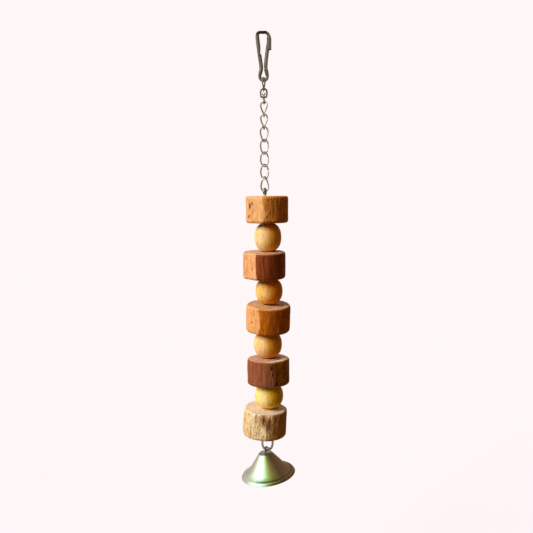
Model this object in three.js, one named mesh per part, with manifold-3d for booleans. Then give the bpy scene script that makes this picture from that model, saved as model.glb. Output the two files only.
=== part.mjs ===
// A hanging cage toy: a spring clip, a swivel and a twisted chain carry slices of branch and turned
// beads on a stiff wire, with a small bell below. Sizes are in millimetres and +Z is up. The origin is
// where the cage wire bears, under the top of the clip's hook, so the toy hangs down from it.

import * as THREE from 'three';
import { mergeVertices } from 'three/addons/utils/BufferGeometryUtils.js';
import Module from 'manifold-3d';

// Gap left wherever two pieces touch
const GAP = 0.3;

// Spring clip, one bent wire. Drops are from the bearing face down to the wire's centre, and half
// widths are to the wire's centre. The bearing face lies a little to the left of the middle. The nose
// is swaged wider and grooved for the gate, whose tip overlaps it and sits inside its centre line.
const CLIP_WIRE = 2.5;
const HOOK_HALF_WIDTH = 3.8;
const HOOK_TOP_THICKNESS = 1.35;
const HOOK_TOP_DEPTH = 3.8;
const BEARING_LENGTH = 3.0;
const BEARING_OFFSET = 0.7;
const SHOULDER_DROP = 3.0;
const PINCH_HALF_WIDTH = 1.5;
const PINCH_DROP = 22.3;
const LOBE_WIRE = 2.0;
const LOBE_HALF_WIDTH = 2.5;
const LOBE_BELOW_PINCH = 5.0;
const FOOT_BELOW_LOBE = 2.7;
const GATE_WIRE = 2.4;
const NOSE_WIDTH = 3.0;
const NOSE_CHEEK = 0.55;
const NOSE_DROP = 10.3;
const GATE_OVERLAP = 3.9;
const GATE_TIP_INSET = 0.55;

// Link between the clip and the swivel, sizes on the wire's centre line
const TOP_LINK_WIRE = 0.9;
const TOP_LINK_LENGTH = 8.45;
const TOP_LINK_WIDTH = 4.6;
const TOP_LINK_UPPER_TURN = 60;
const TOP_LINK_LOWER_TURN = 90;

// Swivel: a stirrup with a rounded top and a squarer foot, with room over the head of the eye pin
// that turns in it. Its foot is spread so that an edge is left beside the pin's hole.
const SWIVEL_PIN = 1.1;
const SWIVEL_HEAD = 2.3;
const SWIVEL_HEAD_HEIGHT = 1.8;
const YOKE_STRIP = 1.1;
const YOKE_DEPTH = 1.7;
const YOKE_EDGE = 0.6;
const YOKE_SHOULDER = 0.1;
const YOKE_ROOM = 0.85;
const SWIVEL_EYE_WIRE = 0.9;
const SWIVEL_EYE_RADIUS = 1.45;
const SWIVEL_EYE_TURN = 65;

// Chain of twisted links, sizes on the wire's centre line
const LINK_WIRE = 1.0;
const LINK_LENGTH = 9.5;
const LINK_WIDTH = 5.1;
const LINK_TWIST = 72;
const LINK_TURNS = [-55, -50, -26, -12, 0, 5, 26];

// Stiff wire through the stack, with a round eye above and a long eye below
const CORE_WIRE = 1.5;
const UPPER_EYE_RADIUS = 1.9;
const UPPER_EYE_TURN = 70;
const LOWER_EYE_HALF_WIDTH = 3.65;
const LOWER_EYE_LENGTH = 10.7;
const LOWER_EYE_SQUARENESS = 2.3;

// Wooden pieces, from the top down: slices of branch and turned beads. Each has the common size plus
// its own difference. Shifts are from the wire to the middle of the outline, nod tips the top face
// towards the front and lean tips it to the right. A peel is a flat left in a slice's rim where the
// bark came away, at a bearing in degrees, so deep.
const BORE = 4.8;
const RIM_ROUND = 1.3;
const BLOCK_THICKNESS = 18.0;
const BLOCK_DIAMETER = 30.0;
const BLOCK_CUTS = [
  {
    thicker: 0.0, wider: -0.4, shiftX: 1.4, shiftY: 0.5, nod: 0.0, lean: 0.0,
    peels: [{ bearing: -128, depth: 1.3 }, { bearing: 170, depth: 0.7 }],
  },
  {
    thicker: 0.1, wider: -0.1, shiftX: -0.9, shiftY: -0.4, nod: 0.9, lean: 0.0,
    peels: [{ bearing: -139, depth: 1.6 }, { bearing: 60, depth: 0.8 }],
  },
  {
    thicker: 0.6, wider: 1.4, shiftX: 1.4, shiftY: 0.3, nod: 3.3, lean: 1.6,
    peels: [{ bearing: -134, depth: 0.8 }, { bearing: 95, depth: 1.0 }],
  },
  {
    thicker: 0.1, wider: -0.3, shiftX: 1.2, shiftY: -0.5, nod: -2.7, lean: 0.0,
    peels: [{ bearing: -56, depth: 0.7 }, { bearing: 140, depth: 1.2 }],
  },
  {
    thicker: 1.2, wider: 1.4, shiftX: -1.6, shiftY: 0.4, nod: 0.6, lean: 3.3,
    peels: [{ bearing: -100, depth: 0.6 }, { bearing: 30, depth: 1.1 }],
  },
];
const BEAD_HEIGHT = 18.0;
const BEAD_DIAMETER = 19.0;
const BEAD_SEAT = 8.0;
const BEAD_CUTS = [
  { taller: 1.0, wider: -0.6, shiftX: 1.7, shiftY: 0.2 },
  { taller: -0.6, wider: -0.4, shiftX: 2.2, shiftY: -0.3 },
  { taller: 0.3, wider: 0.5, shiftX: 1.0, shiftY: 0.3 },
  { taller: -1.0, wider: 1.0, shiftX: 1.4, shiftY: 0.0 },
];

// Bell, its hanger and its clapper. The hanger is off the middle of the crown, so the bell hangs tilted.
const BELL_TILT = 7.5;
const BELL_HEIGHT = 16.0;
const BELL_WALL = 0.8;
const CROWN_DIAMETER = 10.0;
const CROWN_ROUND = 0.8;
const WAIST_DIAMETER = 27.6;
const WAIST_DROP = 12.0;
const RIM_DIAMETER = 38.4;
const HANGER_WIRE = 1.2;
const HANGER_WIDTH = 4.9;
const HANGER_ARCH = 3.7;
const HANGER_OFFSET = 1.9;
const HANGER_TURN = -52;
const CLAPPER_WIRE = 0.9;
const CLAPPER_EYE_RADIUS = 1.4;
const CLAPPER_BALL = 6.4;
const CLAPPER_BALL_DROP = 9.0;

// How far shapes that are joined run into each other, and clearance in units of the gap for a piece
// that must turn inside another
const FUSE = 0.2;
const TURNING_GAP = 1.5 * GAP;

// Fineness of the round shapes
const WIRE_SIDES = 8;
const LINK_STEPS = 24;
const EYE_STEPS = 20;
const ROD_SIDES = 12;
const BLOCK_SIDES = 40;
const BEAD_SIDES = 28;
const BEAD_STEPS = 10;
const BELL_SIDES = 42;
const BALL_SIDES = 20;
const BALL_STEPS = 8;

const wasm = await Module();
wasm.setup();

const radians = (degrees) => THREE.MathUtils.degToRad(degrees);
const mix = (a, b, t) => a + (b - a) * t;
const signedPower = (value, power) => Math.sign(value) * Math.abs(value) ** power;

// Merges a geometry's shared corners and turns its faces outwards.
function tidied(geometry) {
  const bare = geometry.clone();
  bare.deleteAttribute('normal');
  bare.deleteAttribute('uv');
  const merged = mergeVertices(bare, 1e-4);
  const place = merged.getAttribute('position');
  const index = Array.from(merged.getIndex().array);
  const corners = [new THREE.Vector3(), new THREE.Vector3(), new THREE.Vector3()];
  let volume = 0;
  for (let i = 0; i < index.length; i += 3) {
    corners.forEach((corner, k) => corner.fromBufferAttribute(place, index[i + k]));
    volume += corners[0].dot(corners[1].clone().cross(corners[2]));
  }
  if (volume < 0) {
    for (let i = 0; i < index.length; i += 3) {
      [index[i], index[i + 1]] = [index[i + 1], index[i]];
    }
  }
  merged.setIndex(index);
  merged.computeVertexNormals();
  return merged;
}

function solidOf(geometry) {
  const clean = tidied(geometry);
  return new wasm.Manifold(new wasm.Mesh({
    numProp: 3,
    vertProperties: new Float32Array(clean.getAttribute('position').array),
    triVerts: new Uint32Array(clean.getIndex().array),
  }));
}

function geometryOf(solid) {
  const mesh = solid.getMesh();
  const geometry = new THREE.BufferGeometry();
  const places = [];
  for (let i = 0; i < mesh.vertProperties.length; i += mesh.numProp) {
    places.push(...mesh.vertProperties.slice(i, i + 3));
  }
  geometry.setAttribute('position', new THREE.Float32BufferAttribute(places, 3));
  geometry.setIndex(Array.from(mesh.triVerts));
  geometry.computeVertexNormals();
  return geometry;
}

function joined(...geometries) {
  const solids = geometries.map(solidOf);
  return geometryOf(solids.reduce((sum, solid) => sum.add(solid)));
}

function cut(body, ...tools) {
  return geometryOf(tools.map(solidOf).reduce((left, tool) => left.subtract(tool), solidOf(body)));
}

// Closed skin over a row of rings of points, with a fan of faces over each end.
function skinOver(rings) {
  const sides = rings[0].length;
  const places = rings.flat().flatMap((point) => point.toArray());
  const index = [];
  for (let i = 0; i + 1 < rings.length; i += 1) {
    for (let k = 0; k < sides; k += 1) {
      const next = (k + 1) % sides;
      const [a, b] = [i * sides + k, i * sides + next];
      const [c, d] = [a + sides, b + sides];
      index.push(a, b, d, a, d, c);
    }
  }
  for (const end of [0, rings.length - 1]) {
    const middle = rings[end].reduce((sum, point) => sum.add(point), new THREE.Vector3());
    const hub = places.length / 3;
    places.push(...middle.divideScalar(sides).toArray());
    for (let k = 0; k < sides; k += 1) {
      const edge = [end * sides + k, end * sides + ((k + 1) % sides)];
      index.push(...(end === 0 ? [edge[1], edge[0], hub] : [edge[0], edge[1], hub]));
    }
  }
  const geometry = new THREE.BufferGeometry();
  geometry.setAttribute('position', new THREE.Float32BufferAttribute(places, 3));
  geometry.setIndex(index);
  return tidied(geometry);
}

// A wire bent in the XZ plane. Each stop gives the wire's centre, its half thickness in the plane, its
// half depth along Y, and how square its section is.
function bentWire(stops, steps) {
  const centres = new THREE.CatmullRomCurve3(stops.map((s) => new THREE.Vector3(s.x, 0, s.z)));
  const last = stops.length - 1;
  const rings = [];
  for (let i = 0; i <= steps; i += 1) {
    const t = i / steps;
    const before = stops[Math.min(Math.floor(t * last), last - 1)];
    const after = stops[Math.min(Math.floor(t * last) + 1, last)];
    const part = t * last - stops.indexOf(before);
    const [half, deep, square] = ['half', 'deep', 'square'].map((key) => mix(before[key], after[key], part));
    const centre = centres.getPoint(t);
    const along = centres.getTangent(t);
    const across = new THREE.Vector3(along.z, 0, -along.x);
    const ring = [];
    for (let k = 0; k < WIRE_SIDES; k += 1) {
      const angle = (2 * Math.PI * (k + 0.5)) / WIRE_SIDES;
      const point = centre.clone().addScaledVector(across, half * signedPower(Math.cos(angle), 2 / square));
      point.y += deep * signedPower(Math.sin(angle), 2 / square);
      ring.push(point);
    }
    rings.push(ring);
  }
  return skinOver(rings);
}

// Centre line of a link: an oval with fuller corners than an ellipse, its ends turned about the vertical.
const OVAL_SQUARENESS = 2.9;

class TwistedOval extends THREE.Curve {
  constructor(length, width, upperTurn, lowerTurn, squareness = OVAL_SQUARENESS) {
    super();
    Object.assign(this, { length, width, upperTurn, lowerTurn, squareness });
  }

  getPoint(t, target = new THREE.Vector3()) {
    const angle = 2 * Math.PI * t;
    const out = (this.width / 2) * signedPower(Math.cos(angle), 2 / this.squareness);
    const up = (this.length / 2) * signedPower(Math.sin(angle), 2 / this.squareness);
    const rise = THREE.MathUtils.smoothstep(up / this.length, -0.5, 0.5);
    const turn = radians(mix(this.lowerTurn, this.upperTurn, rise));
    return target.set(out * Math.cos(turn), out * Math.sin(turn), up);
  }
}

function wireLoop(curve, wire, steps) {
  return tidied(new THREE.TubeGeometry(curve, steps, wire / 2, WIRE_SIDES, true));
}

// A round rod between two heights on the Z axis.
function rod(radius, low, high) {
  const geometry = new THREE.CylinderGeometry(radius, radius, high - low, ROD_SIDES);
  return tidied(geometry.rotateX(Math.PI / 2).translate(0, 0, (low + high) / 2));
}

// A round wire ring that stands upright, turned about the vertical, with its centre line's top at a
// height on the Z axis.
function eye(radius, wire, turn, high) {
  const ring = new THREE.TorusGeometry(radius, wire / 2, WIRE_SIDES, EYE_STEPS);
  return ring.rotateX(Math.PI / 2).rotateZ(radians(turn)).translate(0, 0, high - radius);
}

function box(low, high) {
  const size = new THREE.Vector3(...high).sub(new THREE.Vector3(...low));
  const geometry = new THREE.BoxGeometry(...size.toArray());
  return geometry.translate(...size.divideScalar(2).add(new THREE.Vector3(...low)).toArray());
}

// A solid of revolution about Z from a profile of [radius, height] pairs.
function turned(profile, sides) {
  const points = profile.map(([radius, height]) => new THREE.Vector2(radius, height));
  return tidied(new THREE.LatheGeometry(points, sides).rotateX(Math.PI / 2));
}

// Spring clip
const lobeDrop = PINCH_DROP + LOBE_BELOW_PINCH;
const footDrop = lobeDrop + FOOT_BELOW_LOBE;
const slotHalf = GATE_WIRE / 2 + GAP;
const gateTipX = HOOK_HALF_WIDTH - GATE_TIP_INSET;
const gateTipDrop = NOSE_DROP - GATE_OVERLAP;

// Section of the wire at a stop, and the stops themselves: down the nose's end, over the hook, down
// the long leg, round the lobe and up to the root of the gate.
const section = (width, depth, square) => ({ half: width / 2, deep: depth / 2, square });

function clipStops() {
  const wire = section(CLIP_WIRE, CLIP_WIRE, 2);
  const lobe = section(LOBE_WIRE, LOBE_WIRE, 2);
  const nose = section(NOSE_WIDTH, 2 * (slotHalf + NOSE_CHEEK), 3);
  const top = section(HOOK_TOP_THICKNESS, HOOK_TOP_DEPTH, 5);
  const turn = section(mix(HOOK_TOP_THICKNESS, CLIP_WIRE, 0.5), mix(HOOK_TOP_DEPTH, CLIP_WIRE, 0.4), 3);
  const topHeight = 0.43 * HOOK_TOP_THICKNESS;
  const legX = (drop) => {
    const part = (drop - SHOULDER_DROP) / (PINCH_DROP - SHOULDER_DROP);
    return -mix(HOOK_HALF_WIDTH, PINCH_HALF_WIDTH, part);
  };
  const flank = mix(PINCH_HALF_WIDTH, LOBE_HALF_WIDTH, 0.6);
  const flankHeight = -PINCH_DROP - 0.55 * LOBE_BELOW_PINCH;
  const heel = 0.72 * LOBE_HALF_WIDTH;
  const heelHeight = -lobeDrop - 0.72 * FOOT_BELOW_LOBE;
  return [
    { x: HOOK_HALF_WIDTH, z: -NOSE_DROP, ...nose },
    { x: HOOK_HALF_WIDTH, z: -0.6 * NOSE_DROP, ...nose },
    { x: HOOK_HALF_WIDTH, z: -0.32 * NOSE_DROP, ...nose },
    { x: 0.86 * HOOK_HALF_WIDTH, z: -0.27 * SHOULDER_DROP, ...turn },
    { x: 0.5 * HOOK_HALF_WIDTH, z: 0.8 * topHeight, ...top },
    { x: 0, z: topHeight, ...top },
    { x: -0.55 * HOOK_HALF_WIDTH, z: topHeight, ...top },
    { x: -0.93 * HOOK_HALF_WIDTH, z: 0, ...turn },
    { x: -HOOK_HALF_WIDTH, z: -0.67 * SHOULDER_DROP, ...wire },
    { x: legX(1.67 * SHOULDER_DROP), z: -1.67 * SHOULDER_DROP, ...wire },
    { x: legX(0.6 * PINCH_DROP), z: -0.6 * PINCH_DROP, ...wire },
    { x: -PINCH_HALF_WIDTH, z: -PINCH_DROP, ...wire },
    { x: -flank, z: flankHeight, ...wire },
    { x: -LOBE_HALF_WIDTH, z: -lobeDrop, ...lobe },
    { x: -heel, z: heelHeight, ...lobe },
    { x: 0, z: -footDrop, ...lobe },
    { x: heel, z: heelHeight, ...lobe },
    { x: LOBE_HALF_WIDTH, z: -lobeDrop, ...lobe },
    { x: flank, z: flankHeight, ...wire },
    { x: PINCH_HALF_WIDTH, z: -PINCH_DROP - GAP / 2, ...wire },
  ];
}

function makeClipFrame() {
  const body = bentWire(clipStops(), 64);
  const bearing = box(
    [-BEARING_OFFSET - BEARING_LENGTH / 2, -HOOK_TOP_DEPTH, -HOOK_TOP_THICKNESS],
    [-BEARING_OFFSET + BEARING_LENGTH / 2, HOOK_TOP_DEPTH, 0],
  );
  const slot = box(
    [-HOOK_HALF_WIDTH / 2, -slotHalf, -NOSE_DROP - NOSE_WIDTH],
    [gateTipX + slotHalf, slotHalf, -gateTipDrop + GAP],
  );
  const rootTrim = box(
    [0, -CLIP_WIRE, -PINCH_DROP - GAP / 2],
    [2 * CLIP_WIRE, CLIP_WIRE, -PINCH_DROP + CLIP_WIRE],
  );
  return cut(body, bearing, slot, rootTrim);
}

function makeClipGate() {
  const wire = section(GATE_WIRE, GATE_WIRE, 2);
  const at = (part) => mix(PINCH_HALF_WIDTH, gateTipX, part);
  const drop = (part) => -mix(PINCH_DROP - GAP, gateTipDrop, part);
  return bentWire([
    { x: PINCH_HALF_WIDTH, z: drop(0), ...wire },
    { x: PINCH_HALF_WIDTH, z: drop(0.1), ...wire },
    { x: at(0.15), z: drop(0.3), ...wire },
    { x: at(0.58), z: drop(0.65), ...wire },
    { x: at(0.94), z: drop(0.94), ...wire },
    { ...wire, x: at(1), z: drop(1), half: 0.7 * wire.half, deep: 0.7 * wire.deep },
  ], 18);
}

// Heights of the hanging pieces, each worked out from the piece that carries it
const topLinkHigh = -footDrop + LOBE_WIRE / 2 + GAP + TOP_LINK_WIRE / 2;
const topLinkLow = topLinkHigh - TOP_LINK_LENGTH;
const yokeHigh = topLinkLow + TOP_LINK_WIRE / 2 + GAP + YOKE_STRIP / 2;
const yokeHeight = YOKE_STRIP + GAP + TOP_LINK_WIRE + YOKE_ROOM + SWIVEL_HEAD_HEIGHT + TURNING_GAP;
const yokeLow = yokeHigh - yokeHeight;
const swivelEyeHigh = yokeLow - YOKE_STRIP / 2 - GAP - SWIVEL_EYE_WIRE / 2;
const swivelEyeLow = swivelEyeHigh - 2 * SWIVEL_EYE_RADIUS;
const firstLinkHigh = swivelEyeLow + SWIVEL_EYE_WIRE / 2 + GAP + LINK_WIRE / 2;
const linkHigh = (place) => firstLinkHigh - place * (LINK_LENGTH - LINK_WIRE - GAP);
const lastLinkLow = linkHigh(LINK_TURNS.length - 1) - LINK_LENGTH;
const upperEyeHigh = lastLinkLow + LINK_WIRE / 2 + GAP + CORE_WIRE / 2;
const upperEyeLow = upperEyeHigh - 2 * UPPER_EYE_RADIUS;

function makeTopLink() {
  const line = new TwistedOval(TOP_LINK_LENGTH, TOP_LINK_WIDTH, TOP_LINK_UPPER_TURN, TOP_LINK_LOWER_TURN);
  return wireLoop(line, TOP_LINK_WIRE, LINK_STEPS);
}

// Swivel: a strip bent into a stirrup with a round top and a squarer foot, drilled for the pin
class StirrupLine extends THREE.Curve {
  getPoint(t, target = new THREE.Vector3()) {
    const angle = 2 * Math.PI * t;
    const [outPower, upPower] = Math.sin(angle) > 0 ? [0.7, 0.75] : [0.4, 0.5];
    const up = (yokeHeight / 2) * signedPower(Math.sin(angle), upPower);
    const footHalf = SWIVEL_HEAD / 2 + GAP + YOKE_STRIP / 2;
    const half = footHalf + YOKE_SHOULDER * THREE.MathUtils.smoothstep(up / yokeHeight, -0.5, 0.2);
    return target.set(half * signedPower(Math.cos(angle), outPower), 0, up);
  }
}

function makeSwivelYoke() {
  const strip = wireLoop(new StirrupLine(), YOKE_STRIP, 28);
  const footDepth = SWIVEL_PIN + 2 * (GAP + YOKE_EDGE);
  const place = strip.getAttribute('position');
  for (let i = 0; i < place.count; i += 1) {
    const rise = THREE.MathUtils.smoothstep(place.getZ(i) / yokeHeight, -0.42, -0.15);
    place.setY(i, (place.getY(i) * mix(footDepth, YOKE_DEPTH, rise)) / YOKE_STRIP);
  }
  const low = -yokeHeight / 2 - YOKE_STRIP;
  return cut(strip, rod(SWIVEL_PIN / 2 + GAP, low, low + 2 * YOKE_STRIP));
}

function makeSwivelEye() {
  const headLow = yokeLow + YOKE_STRIP / 2 + TURNING_GAP;
  const head = turned([
    [0, headLow],
    [0.66 * (SWIVEL_HEAD / 2), headLow],
    [0.96 * (SWIVEL_HEAD / 2), headLow + 0.6 * SWIVEL_HEAD_HEIGHT],
    [SWIVEL_HEAD / 2, headLow + 0.85 * SWIVEL_HEAD_HEIGHT],
    [0.7 * (SWIVEL_HEAD / 2), headLow + SWIVEL_HEAD_HEIGHT],
    [0, headLow + SWIVEL_HEAD_HEIGHT],
  ], ROD_SIDES);
  const shank = rod(SWIVEL_PIN / 2, swivelEyeHigh, headLow + FUSE);
  return joined(head, shank, eye(SWIVEL_EYE_RADIUS, SWIVEL_EYE_WIRE, SWIVEL_EYE_TURN, swivelEyeHigh));
}

// Chain
function makeChainLink(turn) {
  const line = new TwistedOval(LINK_LENGTH, LINK_WIDTH, turn + LINK_TWIST / 2, turn - LINK_TWIST / 2);
  return wireLoop(line, LINK_WIRE, LINK_STEPS);
}

// Wooden pieces at their own sizes
const BLOCKS = BLOCK_CUTS.map((block) => ({
  ...block,
  thickness: BLOCK_THICKNESS + block.thicker,
  diameter: BLOCK_DIAMETER + block.wider,
}));
const BEADS = BEAD_CUTS.map((bead) => ({
  ...bead,
  height: BEAD_HEIGHT + bead.taller,
  diameter: BEAD_DIAMETER + bead.wider,
}));

// A tipped face comes nearer to its neighbour at the rim of the bead's seat.
const tipOf = (piece) => radians(Math.hypot(piece.nod ?? 0, piece.lean ?? 0));
const seatGap = (block) => GAP + (BEAD_SEAT / 2) * Math.tan(tipOf(block));

// Where a loose bore hangs on the wire: shifted with its piece as far as the play allows.
function boreShift(piece, thickness) {
  const play = BORE / 2 - CORE_WIRE / 2 - GAP - (thickness / 2) * Math.tan(tipOf(piece));
  const shift = new THREE.Vector2(piece.shiftX, piece.shiftY);
  return shift.clampLength(0, Math.max(play, 0));
}

// Radius of a block's outline at a bearing: slightly oval and lumpy, cut flat at the peels.
function outlineRadius(block, bearing) {
  const radius = block.diameter / 2;
  const phase = radians(block.peels[0].bearing);
  const lumps = 0.012 * Math.cos(2 * bearing + phase) + 0.007 * Math.cos(5 * bearing - phase);
  const flats = block.peels.map((peel) => {
    const facing = Math.cos(bearing - radians(peel.bearing));
    return facing > 0.5 ? (radius - peel.depth) / facing : Infinity;
  });
  return Math.min(radius * (1 + lumps - 0.01), ...flats);
}

// Quarter circle of a rounded rim, from the flat to the wall when the wall is above the flat.
function roundedRim(radius, height, up) {
  return [0, 1, 2].map((step) => {
    const angle = (step * Math.PI) / 4;
    const out = radius - RIM_ROUND * (1 - Math.sin(angle));
    return [out, height + up * RIM_ROUND * (1 - Math.cos(angle))];
  });
}

function makeBlock(block) {
  const [radius, half] = [block.diameter / 2, block.thickness / 2];
  const shape = turned([
    [BORE / 2, -half],
    ...roundedRim(radius, -half, 1),
    ...roundedRim(radius, half, -1).reverse(),
    [BORE / 2, half],
    [BORE / 2, -half],
  ], BLOCK_SIDES);
  const bore = boreShift(block, block.thickness);
  const place = shape.getAttribute('position');
  for (let i = 0; i < place.count; i += 1) {
    const [x, y] = [place.getX(i), place.getY(i)];
    const inBore = Math.hypot(x, y) < BORE / 2 + 0.01;
    const scale = inBore ? 1 : outlineRadius(block, Math.atan2(y, x)) / radius;
    const centre = inBore ? bore : new THREE.Vector2(block.shiftX, block.shiftY);
    place.setXY(i, centre.x + x * scale, centre.y + y * scale);
  }
  shape.computeVertexNormals();
  return shape;
}

// Barrel outline of a bead from its lower seat to its upper seat, fuller than an ellipse.
const BEAD_SQUARENESS = 2.35;

function beadProfile(bead) {
  const power = 2 / BEAD_SQUARENESS;
  const seatAngle = Math.acos((BEAD_SEAT / bead.diameter) ** (1 / power));
  const tall = bead.height / 2 / Math.sin(seatAngle) ** power;
  return Array.from({ length: BEAD_STEPS + 1 }, (_, step) => {
    const angle = mix(-seatAngle, seatAngle, step / BEAD_STEPS);
    return [(bead.diameter / 2) * Math.cos(angle) ** power, tall * signedPower(Math.sin(angle), power)];
  });
}

function makeBead(bead) {
  const half = bead.height / 2;
  const shell = turned([
    [BORE / 2, -half],
    ...beadProfile(bead),
    [BORE / 2, half],
    [BORE / 2, -half],
  ], BEAD_SIDES);
  const bore = boreShift(bead, bead.height);
  const place = shell.getAttribute('position');
  for (let i = 0; i < place.count; i += 1) {
    const [x, y] = [place.getX(i), place.getY(i)];
    const inBore = Math.hypot(x, y) < BORE / 2 + 0.01;
    place.setXY(i, x + (inBore ? bore.x : bead.shiftX), y + (inBore ? bore.y : bead.shiftY));
  }
  shell.computeVertexNormals();
  return shell;
}

// Middle heights of the wooden pieces, stacked down from the core wire's upper eye
function stackHeights() {
  const middles = { blocks: [], beads: [] };
  let height = upperEyeLow - CORE_WIRE / 2 - seatGap(BLOCKS[0]);
  BLOCKS.forEach((block, place) => {
    middles.blocks.push(height - block.thickness / 2);
    height -= block.thickness + seatGap(block);
    if (place < BEADS.length) {
      middles.beads.push(height - BEADS[place].height / 2);
      height -= BEADS[place].height + seatGap(BLOCKS[place + 1]);
    }
  });
  return { ...middles, foot: height };
}

const stack = stackHeights();
const lowerEyeHigh = stack.foot - CORE_WIRE / 2;
const lowerEyeLow = lowerEyeHigh - LOWER_EYE_LENGTH;

function makeCoreWire() {
  const upper = eye(UPPER_EYE_RADIUS, CORE_WIRE, UPPER_EYE_TURN, upperEyeHigh);
  const stem = rod(CORE_WIRE / 2, lowerEyeHigh, upperEyeLow);
  const lowerLine = new TwistedOval(LOWER_EYE_LENGTH, 2 * LOWER_EYE_HALF_WIDTH, 0, 0, LOWER_EYE_SQUARENESS);
  const lower = wireLoop(lowerLine, CORE_WIRE, 28);
  return joined(upper, stem, lower.translate(0, 0, (lowerEyeHigh + lowerEyeLow) / 2));
}

// Bell, in its own frame: its axis runs down -Z, and its origin is the middle of the lower eye's foot,
// over the hanger rather than over the middle of the crown
const archHigh = CORE_WIRE / 2 + TURNING_GAP + HANGER_WIRE / 2;
const crownHeight = archHigh - HANGER_ARCH;
const barHeight = crownHeight - BELL_WALL - HANGER_WIRE / 2 - CLAPPER_WIRE - 3 * GAP;

function bellOuter() {
  const flare = new THREE.SplineCurve([
    new THREE.Vector2(WAIST_DIAMETER / 2, -WAIST_DROP),
    new THREE.Vector2(mix(WAIST_DIAMETER, RIM_DIAMETER, 0.42) / 2, -mix(WAIST_DROP, BELL_HEIGHT, 0.38)),
    new THREE.Vector2(mix(WAIST_DIAMETER, RIM_DIAMETER, 0.86) / 2, -mix(WAIST_DROP, BELL_HEIGHT, 0.66)),
    new THREE.Vector2(RIM_DIAMETER / 2, -BELL_HEIGHT),
  ]);
  const crown = CROWN_DIAMETER / 2;
  return [
    [0, 0],
    [crown - CROWN_ROUND, 0],
    [crown - 0.2 * CROWN_ROUND, -0.4 * CROWN_ROUND],
    [crown + 0.3 * CROWN_ROUND, -1.1 * CROWN_ROUND],
    [mix(crown, WAIST_DIAMETER / 2, 0.52), -0.55 * WAIST_DROP],
    ...flare.getPoints(5).map((point) => point.toArray()),
  ];
}

function makeBell() {
  const outer = bellOuter();
  const inner = outer.map(([radius, height], place) => {
    const before = outer[Math.max(place - 1, 0)];
    const after = outer[Math.min(place + 1, outer.length - 1)];
    const along = new THREE.Vector2(after[0] - before[0], after[1] - before[1]).normalize();
    return [Math.max(radius + along.y * BELL_WALL, 0), height - along.x * BELL_WALL];
  });
  const rim = [RIM_DIAMETER / 2 - BELL_WALL, -BELL_HEIGHT];
  const inside = [...inner.slice(1, -1), rim].reverse();
  const shell = turned([...outer, ...inside, [0, -BELL_WALL]], BELL_SIDES);
  shell.translate(-HANGER_OFFSET, 0, crownHeight);
  const holes = [-1, 1].map((side) => {
    const hole = rod(HANGER_WIRE / 2 + GAP, crownHeight - 2 * BELL_WALL, crownHeight + BELL_WALL);
    return hole.translate((side * HANGER_WIDTH) / 2, 0, 0).rotateZ(radians(HANGER_TURN));
  });
  return cut(shell, ...holes);
}

class HangerLine extends THREE.Curve {
  getPoint(t, target = new THREE.Vector3()) {
    const angle = 2 * Math.PI * t;
    const reach = (archHigh - barHeight) / 2;
    const out = (HANGER_WIDTH / 2) * signedPower(Math.cos(angle), 0.42);
    const up = reach * signedPower(Math.sin(angle), 0.5);
    return target.set(out, 0, up + (archHigh + barHeight) / 2);
  }
}

function makeBellHanger() {
  return wireLoop(new HangerLine(), HANGER_WIRE, 32).rotateZ(radians(HANGER_TURN));
}

// Clapper: a wire hung by an eye from the hanger's inner bar, through a drilled ball
const clapperEyeHigh = barHeight + HANGER_WIRE / 2 + GAP + CLAPPER_WIRE / 2;
const clapperEyeLow = clapperEyeHigh - 2 * CLAPPER_EYE_RADIUS;
const ballHeight = barHeight - CLAPPER_BALL_DROP;

function makeClapperRod() {
  const ring = eye(CLAPPER_EYE_RADIUS, CLAPPER_WIRE, HANGER_TURN + 90, clapperEyeHigh);
  const low = ballHeight - CLAPPER_BALL / 2 - GAP;
  const stem = rod(CLAPPER_WIRE / 2, low, clapperEyeLow);
  const foot = rod(0.9 * CLAPPER_WIRE, low - 0.6 * CLAPPER_WIRE, low);
  return joined(ring, stem, foot);
}

function makeClapperBall() {
  const bore = CLAPPER_WIRE / 2 + GAP;
  const reach = Math.PI / 2 - Math.asin((bore + FUSE) / (CLAPPER_BALL / 2));
  const arc = Array.from({ length: BALL_STEPS + 1 }, (_, step) => {
    const angle = mix(-reach, reach, step / BALL_STEPS);
    return [(CLAPPER_BALL / 2) * Math.cos(angle), (CLAPPER_BALL / 2) * Math.sin(angle)];
  });
  const height = arc[BALL_STEPS][1];
  const ball = turned([[bore, -height], ...arc, [bore, height], [bore, -height]], BALL_SIDES);
  return ball.translate(0, 0, ballHeight);
}

// Finishes
const finish = (color, metalness, roughness) => new THREE.MeshStandardMaterial({ color, metalness, roughness });
const nickel = finish(0x8b8272, 1, 0.38);
const steel = finish(0x8d8b80, 1, 0.35);
const zinc = finish(0xb3bd94, 1, 0.3);
const crownMetal = finish(0x77716a, 1, 0.45);
const barks = [0xa8693a, 0x7c4630, 0xb57542, 0x6e3d2b, 0xa87a48].map((color) => finish(color, 0, 0.75));
const beadWoods = [0xd9ae62, 0xd09a48, 0xd39c48, 0xe0b04c].map((color) => finish(color, 0, 0.5));

const toy = new THREE.Group();

function add(parent, name, geometry, material) {
  const mesh = new THREE.Mesh(geometry, material.clone());
  mesh.name = name;
  parent.add(mesh);
  return mesh;
}

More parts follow.
